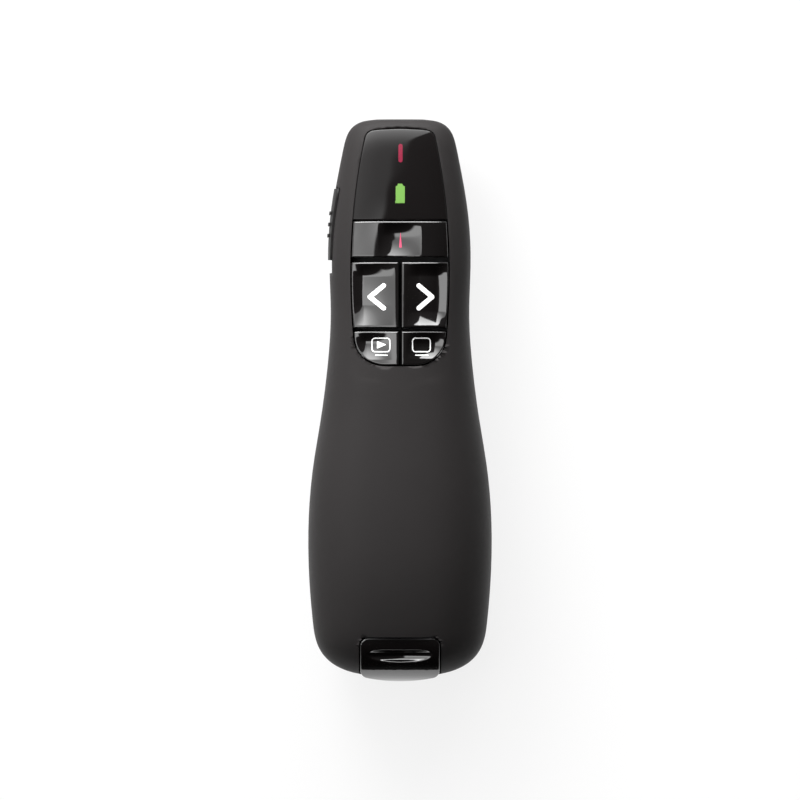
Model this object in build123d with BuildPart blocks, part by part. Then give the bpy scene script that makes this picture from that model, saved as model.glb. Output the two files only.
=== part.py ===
"""Wireless presentation clicker, an assembly of its separate pieces.

The clicker lies on its back: the front face looks up (+Z), the head points to +Y
and the width runs along X.  Z = 0 is the flat land on the battery door, and the
origin is the middle of the footprint.  All sizes are in millimetres.
"""

import math
import os

from build123d import *

os.makedirs("parts", exist_ok=True)

# ---------------------------------------------------------------- overall form
overall_length = 115.5
overall_width = 37.8
overall_depth = 27.4
cap_stand_out = 0.95  # the receiver's cap passes the tail of the shells by this
wall = 1.6
parting_height = 13.4  # the two shells meet at this height
front_fullness = 2.5  # exponent of the rounded section above the parting
back_fullness = 2.6  # and below it

head_y, tail_y = overall_length / 2, -overall_length / 2
shell_length = overall_length - cap_stand_out
nose_length = 8.0  # length over which the head end rounds off
heel_length = 11.0  # and the tail end
section_points = 20

# Shares of the shell's length from the head, with shares of the half width
plan_shape = (
    (0.0, 0.553), (0.058, 0.624), (0.116, 0.693), (0.181, 0.749), (0.249, 0.769), (0.353, 0.7545),
    (0.504, 0.831), (0.611, 0.9365), (0.699, 0.989), (0.764, 1.0), (0.864, 0.971), (1.0, 0.878),
)
# and with shares of the depth, for the front face and for the back
front_shape = (
    (0.0, 0.628), (0.087, 0.715), (0.175, 0.777), (0.35, 0.861),
    (0.524, 0.938), (0.725, 1.0), (0.856, 0.974), (1.0, 0.839),
)
back_shape = (
    (0.0, 0.263), (0.087, 0.197), (0.192, 0.182), (0.297, 0.18), (0.37, 0.12), (0.425, 0.04),
    (0.475, 0.006), (0.53, -0.008), (0.7, -0.013), (0.856, -0.004), (0.926, 0.033), (1.0, 0.164),
)

# ------------------------------------------------------------ keys and opening
opening_head = head_y - 1.95
opening_foot = head_y - 50.9
opening_drop = 0.45  # the head edge of the opening is a shallow arc
opening_corner = 2.0
head_half, shoulder_half, waist_half, low_half = 7.0, 9.74, 10.2, 9.6
shoulder_y, waist_y, low_y = head_y - 20.35, head_y - 31.75, head_y - 45.0
foot_half = 2.7
key_fit = 0.25  # gap between a key and the shell
lens_fit = 0.1
lens_foot = head_y - 20.85
laser_key_span = (head_y - 28.55, head_y - 21.15)
page_key_span = (head_y - 43.05, head_y - 29.55)
small_key_span = (opening_foot - 1.0, head_y - 43.75)
key_split = 0.66  # gap between the left and the right keys
key_corner = 0.7
key_wall = 1.0
key_travel = 0.5
flange_reach = 0.5  # the flange passes under the rim of the opening
flange_thickness = 0.8
flange_gap = 0.15
stem_radius = 1.5  # of the stem that presses the switch
pin_half = 0.6  # half the side of a square guide pin
pin_fit = 0.15
pin_clearance = 0.25  # between a pressed pin and the board
dish_radius, dish_depth = 32.0, 0.55

# ------------------------------------------------------ boards and electronics
board_gap = 0.4  # between the board's edge and the shells
board_bottom = 13.9
board_thickness = 1.0
board_top = board_bottom + board_thickness
board_foot, board_head_gap = 3.6, 5.3
board_span = (board_foot, head_y - board_head_gap)
switch_side, switch_height, switch_floor = 4.6, 1.5, 0.3
plunger_radius, plunger_rise = 1.1, 0.6
plunger_fit = 0.1
frame_bottom = board_top + 0.3
frame_thickness = 0.7
frame_top = frame_bottom + frame_thickness
frame_span = (7.0, head_y - 20.25)
frame_window_gap = 0.3
frame_foot_half = 0.7
frame_feet = ((-9.0, 8.5), (9.0, 8.5), (-9.0, 28.7), (9.8, 28.7), (-8.4, 36.2), (8.4, 36.2))
collar_rise, collar_wall = 1.2, 0.6
rib_thickness = 1.2
hold_down_ribs = ((-12.5, 10.5), (-12.5, 20.5), (12.5, 10.5), (12.5, 20.5), (12.5, 30.5))
hold_down_length = 2.8
led_size = (1.6, 0.8, 0.6)
red_mark_y, red_mark_width, red_mark_length = head_y - 7.15, 0.85, 3.8
green_mark_y, green_mark_width, green_mark_length = head_y - 15.45, 1.93, 4.0
red_mark_x = 0.1
green_nub_width, green_nub_length = 0.9, 0.5
pipe_fit = 0.05
pipe_gap = 0.1  # between a lamp and its light guide
lens_thickness = 1.0

# ------------------------------------------------------------------ laser unit
laser_height = 11.0
laser_barrel_radius, laser_barrel_length = 2.5, 11.0
laser_barrel_wall, laser_lens_seat, laser_lens_thickness, laser_throat_radius = 0.5, 1.2, 0.7, 1.2
laser_front = head_y - 4.75
aperture_radius = 1.9
nose_tube_wall = 0.5
window_thickness = 1.2
glass_fit = 0.05
diode_flange, diode_can_radius, diode_can_length, lead_half, lead_spacing = 1.4, 1.4, 2.0, 0.2, 0.8

# ---------------------------------------------------------------- power slider
slider_span = (head_y - 28.95, head_y - 14.35)
slider_half_height = 3.3
slider_travel = 2.6
slider_proud, slider_rib_proud = 0.28, 0.3
slider_ribs = (-2.3, 0.0, 2.3)  # places of its ribs from its middle
slider_fit = 0.15
slider_sink = 1.9  # depth of the channel's floor below the shell's side
slider_wall = 1.0  # wall left behind the channel
neck_length, neck_height = 5.0, 1.6
neck_middle = 12.3
slide_switch_size = (3.8, 8.4, 3.0)
lever_length = 1.6

# ------------------------------------------------------ batteries and the door
battery_radius, battery_length = 5.25, 44.5
battery_nub_radius, battery_nub_length = 1.9, 1.2
battery_gap = 0.2  # between the two cells
spring_gap = 1.7
contact_thickness = 0.4
contact_half, spring_half, spring_thickness = 4.0, 3.2, 0.3
bay_head = 1.0
bay_foot = bay_head - battery_length - spring_gap - 2 * contact_thickness
door_wall = 1.4
door_half, heel_half = 12.4, 14.0
door_head, heel_step = 6.4, 1.4  # the heel of the door starts this far behind the bay
door_top = 9.0  # upper edge of the door where it turns up at the tail
door_fit = 0.2
door_rail_thickness, door_rail_head = 0.8, -7.0
hook_bottom, hook_thickness, hook_reach, hook_length = 5.6, 1.0, 1.0, 6.0
hook_places = (-42.0, -25.0, -11.0)
ledge_thickness = 1.0
cradle_gap, cradle_wall = 0.4, 1.0
cradle_end_drop = 4.5  # the end walls reach this far below the cells' axes
cradle_end_chamfer = 2.6  # their lower corners clear the door on its way out
gusset_places, gusset_bottom = (-38.0, -22.0, -8.0), 8.0

# -------------------------------------------------------------------- receiver
receiver_width, receiver_thickness = 16.4, 6.8
receiver_bottom = 14.9
receiver_fit = 0.3
cap_half = 8.1
cap_sink = 0.9  # its top lies this far below the front face at its head end
notch_half = cap_half + receiver_fit
notch_corner = 1.8
notch_length = 9.35
notch_head = tail_y + notch_length
cap_head = notch_head - receiver_fit
dimple_half, dimple_width, dimple_depth = 6.5, 2.7, 1.2
dimple_y = cap_head - 3.75
receiver_wall = 1.0
receiver_foot = -17.0  # end of the plastic housing, where the plug comes out
tunnel_wall = 1.0
plug_width, plug_height, plug_skin, plug_fit = 12.0, 4.5, 0.3, 0.05
plug_reach, plug_root_depth = 13.5, 6.0
plug_windows, plug_window_half, plug_window_span = (-2.25, 2.25), 1.0, (5.2, 7.7)
tongue_half, tongue_thickness, tongue_recess = 5.6, 1.9, 1.0
usb_contact_places, usb_contact_half, usb_contact_thickness = (-3.5, -1.0, 1.0, 3.5), 0.5, 0.15
usb_contact_span = (1.6, 9.0)  # from the tip of the plug


# ============================================================ the rounded form
def curve_through(points):
    """Return a smooth function through points that are listed in order of x."""
    xs = [x for x, _ in points]
    ys = [y for _, y in points]
    steps = [(ys[i + 1] - ys[i]) / (xs[i + 1] - xs[i]) for i in range(len(xs) - 1)]
    slopes = [steps[0]]
    for i in range(1, len(steps)):
        before, after = xs[i] - xs[i - 1], xs[i + 1] - xs[i]
        slopes.append((steps[i - 1] * after + steps[i] * before) / (before + after))
    slopes.append(steps[-1])

    def value(x):
        k = max(i for i in range(len(steps)) if i == 0 or x >= xs[i])
        span = xs[k + 1] - xs[k]
        t = min(max((x - xs[k]) / span, 0.0), 1.0)
        return (
            (1 + 2 * t) * (1 - t) ** 2 * ys[k]
            + t * (1 - t) ** 2 * span * slopes[k]
            + t * t * (3 - 2 * t) * ys[k + 1]
            + t * t * (t - 1) * span * slopes[k + 1]
        )

    return value


plan_curve = curve_through(plan_shape)
front_curve = curve_through(front_shape)
back_curve = curve_through(back_shape)


def end_rounding(distance, length, power):
    """Share of the full size at a distance from a rounded end."""
    if distance >= length:
        return 1.0
    return (1 - (1 - distance / length) ** power) ** (1 / power)


def section_reach(station, inset):
    """Half width, rise and drop of the form's section at a distance from the head."""
    share = station / shell_length
    from_head, from_tail = station - inset, shell_length - station - inset
    plan = end_rounding(from_head, nose_length, 4.5) * end_rounding(from_tail, heel_length, 3.0)
    side = end_rounding(from_head, 0.88 * nose_length, 3.2) * end_rounding(from_tail, 0.82 * heel_length, 2.8)
    half_width = (plan_curve(share) * overall_width / 2 - inset) * plan
    rise = (front_curve(share) * overall_depth - parting_height - inset) * side
    drop = (parting_height - back_curve(share) * overall_depth - inset) * side
    return half_width, rise, drop


def front_height(x, y, inset=0.0):
    """Height of the front face of the form over a point of the plan."""
    half_width, rise, _ = section_reach(head_y - y, inset)
    share = min(abs(x) / half_width, 0.999)
    return parting_height + rise * (1 - share**front_fullness) ** (1 / front_fullness)


def section_curve(half_width, rise, drop):
    """Closed curve of a rounded section: a superellipse above and below the parting.

    Every section has the same parameters, which keeps the surface through them light.
    """
    points = []
    for i in range(section_points):
        turn = 2 * math.pi * i / section_points - math.pi / 2
        fullness, reach = (front_fullness, rise) if math.sin(turn) >= 0 else (back_fullness, drop)
        across = math.copysign(abs(math.cos(turn)) ** (2 / fullness), math.cos(turn))
        upward = math.copysign(abs(math.sin(turn)) ** (2 / fullness), math.sin(turn))
        points.append((across * half_width, upward * reach))
    parameters = [i / section_points for i in range(section_points + 1)]
    return Edge.make_spline(points, periodic=True, parameters=parameters)


def section_stations(inset):
    """Distances from the head at which the form has a section, closer at the ends."""
    nose = [inset + nose_length * (1 - math.cos(math.radians(a))) for a in (7, 18, 31, 45, 60, 75, 90)]
    heel = [inset + heel_length * (1 - math.cos(math.radians(a))) for a in (7, 19, 32, 45, 60, 75, 90)]
    first, last = nose[-1], shell_length - heel[-1]
    middle = [first + (last - first) * i / 9 for i in range(1, 9)]
    return nose + middle + [shell_length - distance for distance in reversed(heel)]


def body_form(inset):
    """The clicker's rounded outer form, or the same form drawn in by an inset."""
    with BuildPart() as form:
        for station in section_stations(inset):
            section = Plane(origin=(0, head_y - station, parting_height), x_dir=(1, 0, 0), z_dir=(0, -1, 0))
            with BuildSketch(section):
                with BuildLine():
                    add(section_curve(*section_reach(station, inset)))
                make_face()
        loft()
        split(bisect_by=Plane.XY.offset(inset), keep=Keep.TOP)
    return form.part


outer_form = body_form(0.0)
inner_form = body_form(wall)
lens_form = body_form(lens_thickness)
board_form = body_form(wall + board_gap)
door_form = body_form(door_wall)
lens_seat_form = body_form(lens_thickness + pipe_fit)
slider_form = body_form(-slider_proud)
slider_rib_form = body_form(-slider_proud - slider_rib_proud)


# ========================================================== outlines in the plan
def opening_outline(inset):
    """Outline of the opening for the lens and the keys, drawn in by an inset."""
    top, foot = opening_head - inset, opening_foot + inset
    low = (low_half - inset, low_y)
    foot_turn = (
        foot_half + 0.72 * (low[0] - foot_half),
        foot + 0.30 * (low_y - foot),
    )
    with BuildSketch() as outline:
        with BuildLine():
            head = TangentArc((0, top), (head_half - inset, top - opening_drop), tangent=(1, 0))
            side = Spline(head @ 1, (shoulder_half - inset, shoulder_y), (waist_half - inset, waist_y), low)
            corner = Spline(side @ 1, foot_turn, (foot_half, foot), tangents=(side % 1, (-1, 0)))
            Line(corner @ 1, (0, foot))
            mirror(about=Plane.YZ)
        make_face()
        corners = [v for v in outline.vertices() if v.Y > top - 1 and abs(v.X) > 1]
        fillet(corners, opening_corner)
    return outline.sketch


def band_outline(gap, span, side=0, margin=0.0):
    """The opening between two places of the clicker: all of it, its left or its right."""
    foot, head = span
    reach = 2 * waist_half
    with BuildSketch() as band:
        add(opening_outline(gap + margin))
        with Locations((0, (foot + head) / 2)):
            Rectangle(2 * reach, head - foot - 2 * margin, mode=Mode.INTERSECT)
        if side:
            with Locations((side * (key_split / 2 + margin + reach / 2), (foot + head) / 2)):
                Rectangle(reach, head - foot, mode=Mode.INTERSECT)
    return band.sketch


page_middle, small_middle = sum(page_key_span) / 2, opening_foot + 3.75
laser_middle = sum(laser_key_span) / 2
# name: side of the middle, span, place of the switch below it, places of its guide pins
keys = {
    "laser_key": (0, laser_key_span, (0.0, laser_middle), [(-6.5, laser_middle), (6.5, laser_middle)]),
    "back_key": (-1, page_key_span, (-5.0, page_middle), [(-5.0, page_middle + y) for y in (-4, 4)]),
    "forward_key": (1, page_key_span, (5.0, page_middle), [(5.0, page_middle + y) for y in (-4, 4)]),
    "slideshow_key": (-1, small_key_span, (-3.4, small_middle), [(-7.3, small_middle + 0.9)]),
    "blank_key": (1, small_key_span, (3.4, small_middle), [(7.3, small_middle + 0.9)]),
}
plunger_top = board_top + switch_height + plunger_rise
pin_bottom = board_top + key_travel + pin_clearance

# Spaces that several pieces share
cell_x = battery_radius + battery_gap / 2
battery_height = parting_height - battery_radius - 0.05
cradle_half = cell_x + battery_radius + cradle_gap
heel_head = bay_foot - heel_step
receiver_half, receiver_middle = receiver_width / 2, receiver_bottom + receiver_thickness / 2
receiver_top = receiver_bottom + receiver_thickness
plug_tip = receiver_foot + plug_reach
plug_root = receiver_foot - plug_root_depth
chassis_floor = receiver_bottom - receiver_fit
chassis_foot = notch_head + 0.6
slider_middle = sum(slider_span) / 2
slider_floor = section_reach(head_y - slider_middle, 0.0)[0] - slider_sink
slider_pad = slider_floor - slider_wall
hook_slot = (hook_bottom - door_fit, hook_bottom + hook_thickness + door_fit)
laser_back = laser_front - laser_barrel_length

# The screws that close the housing, and those that hold the board
screw_seat, screw_length = 10.0, 8.0
screw_radius, screw_head_radius, screw_head_height = 0.88, 1.6, 0.9
screw_pilot, screw_hole, boss_radius = 0.9, 1.15, 2.0
screw_places = [(-9.2, 4.6), (9.2, 4.6), (-11.0, bay_foot - 4.0), (11.0, bay_foot - 4.0)]
board_screw_radius, board_screw_length = 0.68, 4.0
board_screw_head_radius, board_screw_head_height = 1.5, 0.8
board_screw_pilot, board_screw_hole, board_boss_radius, board_post_radius = 0.7, 0.95, 2.0, 1.2
board_screw_places = [(-8.0, head_y - 11.25), (8.0, head_y - 11.25)]
board_post_places = [(-9.2, 12.0), (9.2, 12.0)]

lowest, highest = -1.0, overall_depth + 1
far = overall_width
beyond = overall_length
channel_span = (slider_span[0] - slider_travel - slider_fit, slider_span[1] + slider_fit)
channel_height = (
    parting_height - slider_half_height - slider_fit,
    parting_height + slider_half_height + slider_fit,
)
pad_margin = 1.5
pad_span = (channel_span[0] - pad_margin, channel_span[1] + pad_margin)
neck_height_span = (neck_middle - neck_height / 2, neck_middle + neck_height / 2)
neck_span = (slider_middle - neck_length / 2, slider_middle + neck_length / 2)


def block(x, y, z, mode=Mode.ADD):
    """A box between two values along each axis."""
    with Locations(((x[0] + x[1]) / 2, (y[0] + y[1]) / 2, (z[0] + z[1]) / 2)):
        Box(abs(x[1] - x[0]), y[1] - y[0], z[1] - z[0], mode=mode)


def peg(place, z, half, mode=Mode.ADD):
    """An upright square peg between two heights."""
    block((place[0] - half, place[0] + half), (place[1] - half, place[1] + half), z, mode=mode)


def post(place, z, radius, mode=Mode.ADD):
    """An upright cylinder between two heights."""
    with Locations((place[0], place[1], z[0])):
        Cylinder(radius, z[1] - z[0], align=(Align.CENTER, Align.CENTER, Align.MIN), mode=mode)


def rod(x, y, z, radius, mode=Mode.ADD):
    """A cylinder along the clicker between two values of y."""
    with Locations(Location((x, y[1], z), (90, 0, 0))):
        Cylinder(radius, y[1] - y[0], align=(Align.CENTER, Align.CENTER, Align.MIN), mode=mode)


def finish(builder, name):
    """Label a finished piece and write it to its file."""
    builder.part.label = name
    export_step(builder.part, f"parts/{name}.step")


# ============================================== shapes that the pieces share
with BuildPart() as key_hollows:
    for key_side, key_span, _, _ in keys.values():
        with BuildSketch(Plane.XY.offset(board_top)):
            add(band_outline(key_fit, key_span, key_side, key_wall))
        extrude(amount=overall_depth)
    add(inner_form, mode=Mode.INTERSECT)

with BuildPart() as slider_backing:
    block((-far, -slider_pad), pad_span, (channel_height[0] - pad_margin, channel_height[1] + pad_margin))
    add(lens_form, mode=Mode.INTERSECT)

with BuildPart() as slider_channel:
    block((-far, -slider_floor), channel_span, channel_height)
    neck_slot = (neck_span[0] - slider_travel - slider_fit, neck_span[1] + slider_fit)
    block((-far, -slider_pad + 1), neck_slot, (neck_height_span[0] - slider_fit, parting_height))

with BuildPart() as pipes:
    with BuildSketch(Plane.XY.offset(board_top + led_size[2] + pipe_gap)):
        with Locations((red_mark_x, red_mark_y)):
            SlotOverall(red_mark_length, red_mark_width, rotation=90)
        with Locations((0, green_mark_y - green_nub_length / 2)):
            Rectangle(green_mark_width, green_mark_length - green_nub_length)
        with Locations((0, green_mark_y + green_mark_length / 2 - green_nub_length)):
            Rectangle(green_nub_width, green_nub_length, align=(Align.CENTER, Align.MIN))
    extrude(amount=overall_depth)

with BuildPart() as pipe_holes:
    with BuildSketch(Plane.XY.offset(parting_height)):
        with Locations((red_mark_x, red_mark_y)):
            SlotOverall(red_mark_length + 2 * pipe_fit, red_mark_width + 2 * pipe_fit, rotation=90)
        with Locations((0, green_mark_y)):
            Rectangle(green_mark_width + 2 * pipe_fit, green_mark_length + 2 * pipe_fit)
    extrude(amount=overall_depth)

# ================================================================== top shell
lens_span = (lens_foot, opening_head + 1)
with BuildPart() as lens_seat:
    with BuildSketch(Plane.XY.offset(parting_height)):
        add(band_outline(0.0, (lens_foot - lens_fit, opening_head + 1)))
    extrude(amount=overall_depth)
    add(lens_seat_form, mode=Mode.SUBTRACT)

with BuildPart() as top_ribs:
    for place in screw_places:
        post(place, (parting_height, highest), boss_radius)
    for x, y in hold_down_ribs:
        block(
            (x - hold_down_length / 2, x + hold_down_length / 2),
            (y - rib_thickness / 2, y + rib_thickness / 2),
            (frame_top, frame_top + 3),
        )
    add(lens_form, mode=Mode.INTERSECT)

with BuildPart() as top_shell:
    add(outer_form)
    add(inner_form, mode=Mode.SUBTRACT)
    add(top_ribs.part)
    add(slider_backing.part)
    split(bisect_by=Plane.XY.offset(parting_height), keep=Keep.TOP)
    with BuildSketch(Plane.XY.offset(parting_height)):
        add(band_outline(0.0, (opening_foot - 1, lens_foot - lens_fit)))
    extrude(amount=overall_depth, mode=Mode.SUBTRACT)
    add(lens_seat.part, mode=Mode.SUBTRACT)
    add(pipe_holes.part, mode=Mode.SUBTRACT)
    add(slider_channel.part, mode=Mode.SUBTRACT)
    for place in screw_places:
        post(place, (parting_height, screw_seat + screw_length + 0.5), screw_pilot, mode=Mode.SUBTRACT)
    with BuildSketch(Plane.XY.offset(chassis_floor - 0.1)):
        with Locations((0, notch_head)):
            notch = Rectangle(2 * notch_half, head_y, align=(Align.CENTER, Align.MAX))
        fillet(notch.vertices().group_by(Axis.Y)[-1], notch_corner)
    extrude(amount=overall_depth, mode=Mode.SUBTRACT)
finish(top_shell, "top_shell")

# ============================================================ indicator lens
with BuildPart() as indicator_lens:
    with BuildSketch(Plane.XY.offset(parting_height)):
        add(band_outline(lens_fit, lens_span))
    extrude(amount=overall_depth)
    add(outer_form, mode=Mode.INTERSECT)
    add(lens_form, mode=Mode.SUBTRACT)
    add(pipe_holes.part, mode=Mode.SUBTRACT)
finish(indicator_lens, "indicator_lens")

for name, side in (("red_light_pipe", Keep.BOTTOM), ("green_light_pipe", Keep.TOP)):
    with BuildPart() as light_pipe:
        add(pipes.part)
        split(bisect_by=Plane.XZ.offset(-(red_mark_y + green_mark_y) / 2), keep=side)
        add(outer_form, mode=Mode.INTERSECT)
    finish(light_pipe, name)

# ====================================================================== keys
seat_overlap = 0.4  # how far stems and pins run into the key's wall
for name, (key_side, key_span, switch_place, pin_places) in keys.items():
    rim = waist_half + flange_reach
    flange_bottom = front_height(rim, key_span[1], wall) - flange_gap - flange_thickness
    with BuildPart() as key:
        with BuildSketch(Plane.XY.offset(flange_bottom)):
            cap = band_outline(key_fit, key_span, key_side)
            add(cap)
            corners = [v for v in cap.vertices() if min(abs(v.Y - y) for y in key_span) < 0.01]
            fillet(corners, key_corner)
        extrude(amount=overall_depth)
        with BuildSketch(Plane.XY.offset(flange_bottom)):
            add(band_outline(-flange_reach, key_span, key_side))
        extrude(amount=flange_thickness)
        add(outer_form, mode=Mode.INTERSECT)
        add(key_hollows.part, mode=Mode.SUBTRACT)
        dish_x = key_side * (key_split / 2 + waist_half) / 2
        dish_y = min(max(sum(key_span) / 2, small_middle), key_span[1])
        dish_top = front_height(dish_x, dish_y)
        with Locations((dish_x * 1.5, dish_y, dish_top + dish_radius - dish_depth)):
            Sphere(dish_radius, mode=Mode.SUBTRACT)
        post(switch_place, (plunger_top, front_height(*switch_place, wall) + seat_overlap), stem_radius)
        for place in pin_places:
            peg(place, (pin_bottom, front_height(*place, wall) + seat_overlap), pin_half)
    finish(key, name)
    with BuildPart() as plunger:
        post(switch_place, (board_top + 2 * switch_floor + key_travel, plunger_top), plunger_radius)
    finish(plunger, name.replace("key", "switch_plunger"))

# ============================================ key frame, board and its switches
with BuildPart() as key_frame:
    block((-far, far), frame_span, (frame_bottom, frame_top))
    add(board_form, mode=Mode.INTERSECT)
    block((-far, -slider_pad + board_gap), pad_span, (0, highest), mode=Mode.SUBTRACT)
    for _, _, switch_place, pin_places in keys.values():
        for place in pin_places:
            peg(place, (frame_bottom, frame_top + collar_rise), pin_half + pin_fit + collar_wall)
            peg(place, (0, highest), pin_half + pin_fit, mode=Mode.SUBTRACT)
        peg(switch_place, (frame_bottom, frame_top + collar_rise), switch_side / 2 + frame_window_gap,
            mode=Mode.SUBTRACT)
    for place in frame_feet:
        peg(place, (board_top, frame_bottom), frame_foot_half)
finish(key_frame, "key_frame")

with BuildPart() as main_board:
    block((-far, far), board_span, (board_bottom, board_top))
    add(board_form, mode=Mode.INTERSECT)
    block((-far, -slider_pad + board_gap), pad_span, (0, highest), mode=Mode.SUBTRACT)
    for place in screw_places[:2]:
        post(place, (0, highest), boss_radius + board_gap, mode=Mode.SUBTRACT)
    for place in board_screw_places:
        post(place, (0, highest), board_screw_hole, mode=Mode.SUBTRACT)
finish(main_board, "main_board")

window_half = plunger_radius + plunger_fit
with BuildPart() as key_switches:
    for _, _, switch_place, _ in keys.values():
        peg(switch_place, (board_top, board_top + switch_height), switch_side / 2)
        peg(switch_place, (board_top + switch_floor, highest), window_half, mode=Mode.SUBTRACT)
finish(key_switches, "key_switches")

for name, place in (("red_led", (red_mark_x, red_mark_y)), ("green_led", (0.0, green_mark_y))):
    with BuildPart() as led:
        with Locations((*place, board_top)):
            Box(*led_size, align=(Align.CENTER, Align.CENTER, Align.MIN))
    finish(led, name)

chips = {
    "controller_chip": ((1.5, 23.0), (6.0, 6.0, 0.9)),
    "radio_chip": ((3.0, 12.5), (4.0, 4.0, 0.8)),
    "timing_crystal": ((-4.0, 13.0), (3.2, 2.5, 0.7)),
}
for name, (place, size) in chips.items():
    with BuildPart() as chip:
        with Locations((*place, board_bottom)):
            Box(*size, align=(Align.CENTER, Align.CENTER, Align.MAX))
    finish(chip, name)

# ================================================================ laser unit
lens_back = laser_front - laser_lens_seat
with BuildPart() as laser_barrel:
    rod(0, (laser_back, laser_front), laser_height, laser_barrel_radius)
    rod(0, (laser_back, lens_back - 3), laser_height, laser_barrel_radius - laser_barrel_wall,
        mode=Mode.SUBTRACT)
    rod(0, (lens_back - 3, laser_front), laser_height, laser_throat_radius, mode=Mode.SUBTRACT)
    rod(0, (lens_back, laser_front), laser_height, aperture_radius, mode=Mode.SUBTRACT)
finish(laser_barrel, "laser_barrel")

with BuildPart() as laser_lens:
    rod(0, (lens_back, lens_back + laser_lens_thickness), laser_height, aperture_radius - glass_fit)
finish(laser_lens, "laser_lens")

diode_back = laser_back + 1.0
diode_can_back = diode_back + diode_flange
with BuildPart() as laser_diode:
    rod(0, (diode_back, diode_can_back), laser_height, laser_barrel_radius - laser_barrel_wall - glass_fit)
    rod(0, (diode_can_back, diode_can_back + diode_can_length), laser_height, diode_can_radius)
    for x in (-lead_spacing, 0.0, lead_spacing):
        block((x - lead_half, x + lead_half), (laser_back - 2.5, diode_back),
              (laser_height - lead_half, laser_height + lead_half))
finish(laser_diode, "laser_diode")

window_back = laser_front + 1.55
with BuildPart() as laser_window:
    rod(0, (window_back, window_back + window_thickness), laser_height, aperture_radius - glass_fit)
finish(laser_window, "laser_window")

# =============================================================== bottom shell
bulkhead = (door_head + door_fit, door_head + 1.4)  # the wall ahead of the door
with BuildPart() as lower_ribs:
    for place in board_screw_places:
        post(place, (0, board_bottom), board_boss_radius)
    for place in board_post_places:
        post(place, (0, board_bottom), board_post_radius)
    rod(0, (laser_front + 0.2, head_y), laser_height, aperture_radius + nose_tube_wall)
    for y in (laser_back + 1.5, laser_front - 2.5):
        block((-3.6, 3.6), (y - rib_thickness / 2, y + rib_thickness / 2), (0, laser_height))
    block((-far, far), (bay_head + 1.3, bulkhead[1]), (screw_seat, parting_height))
    block((-far, far), bulkhead, (0, parting_height))
    block((-far, far), (-beyond, bay_foot - 1.3), (screw_seat, parting_height))
    for side in (-1, 1):
        for y in gusset_places:
            block((side * (cradle_half + cradle_wall + 0.3), side * far),
                  (y - rib_thickness / 2, y + rib_thickness / 2), (gusset_bottom, parting_height))
        block((side * (door_half + door_fit), side * far), (bay_foot, door_rail_head + 1.0),
              (hook_slot[0] - ledge_thickness, hook_slot[0]))
    add(lens_form, mode=Mode.INTERSECT)

with BuildPart() as bottom_shell:
    add(outer_form)
    add(inner_form, mode=Mode.SUBTRACT)
    add(slider_backing.part)
    split(bisect_by=Plane.XY.offset(parting_height), keep=Keep.BOTTOM)
    add(lower_ribs.part)
    rod(0, (laser_front, head_y + 1), laser_height, aperture_radius, mode=Mode.SUBTRACT)
    rod(0, (laser_back, laser_front), laser_height, laser_barrel_radius + glass_fit, mode=Mode.SUBTRACT)
    add(slider_channel.part, mode=Mode.SUBTRACT)
    for half, head in ((door_half, door_head), (heel_half, heel_head)):
        block((-half - door_fit, half + door_fit), (-beyond, head + door_fit),
              (lowest, door_top + door_fit), mode=Mode.SUBTRACT)
    hook_x = door_half + hook_reach + door_fit
    block((-hook_x, hook_x), (-beyond, door_rail_head + 2.0), hook_slot, mode=Mode.SUBTRACT)
    for place in screw_places:
        post(place, (0, highest), screw_hole, mode=Mode.SUBTRACT)
    for place in board_screw_places:
        post(place, (board_bottom - board_screw_length, highest), board_screw_pilot, mode=Mode.SUBTRACT)
finish(bottom_shell, "bottom_shell")

# =============================================================== battery door
with BuildPart() as door_block:
    block((-door_half, door_half), (-beyond, door_head), (lowest, door_top))
    block((-heel_half, heel_half), (-beyond, heel_head), (lowest, door_top))

with BuildPart() as door_rails:
    rail_x = door_half - door_fit
    for side in (-1, 1):
        block((side * (rail_x - door_rail_thickness), side * rail_x), (bay_foot + 1, door_rail_head),
              (lowest, hook_bottom + hook_thickness))
        for y in hook_places:
            block((side * rail_x, side * (rail_x + hook_reach)), (y - hook_length / 2, y + hook_length / 2),
                  (hook_bottom, hook_bottom + hook_thickness))
    add(lens_form, mode=Mode.INTERSECT)

with BuildPart() as battery_door:
    add(outer_form)
    add(door_form, mode=Mode.SUBTRACT)
    add(door_block.part, mode=Mode.INTERSECT)
    add(door_rails.part)
finish(battery_door, "battery_door")

# =============================================================== power slider
fork_half = lever_length / 2 + slider_fit
rib_half = 0.35
with BuildPart() as slider_plate:
    block((-far, -slider_floor - slider_fit), slider_span,
          (parting_height - slider_half_height, parting_height + slider_half_height))
    add(slider_form, mode=Mode.INTERSECT)

with BuildPart() as slider_grips:
    for offset_y in slider_ribs:
        block((-far, -slider_floor - 0.65),
              (slider_middle + offset_y - rib_half, slider_middle + offset_y + rib_half),
              (parting_height - slider_half_height + 0.8, parting_height + slider_half_height - 0.8))
    add(slider_rib_form, mode=Mode.INTERSECT)

with BuildPart() as power_slider:
    add(slider_plate.part)
    add(slider_grips.part)
    block((-slider_floor - 0.5, -slider_pad + 0.3), neck_span, neck_height_span)
    block((-slider_pad + 0.15, -slider_pad + 0.65), (neck_span[0] - 1.0, neck_span[1] + 1.0),
          (neck_height_span[0] - 0.5, neck_height_span[1]))
    block((-slider_floor + 0.4, 0), (slider_middle - fork_half, slider_middle + fork_half),
          (neck_height_span[0] - 2.0, neck_height_span[1] + 1), mode=Mode.SUBTRACT)
finish(power_slider, "power_slider")

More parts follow.
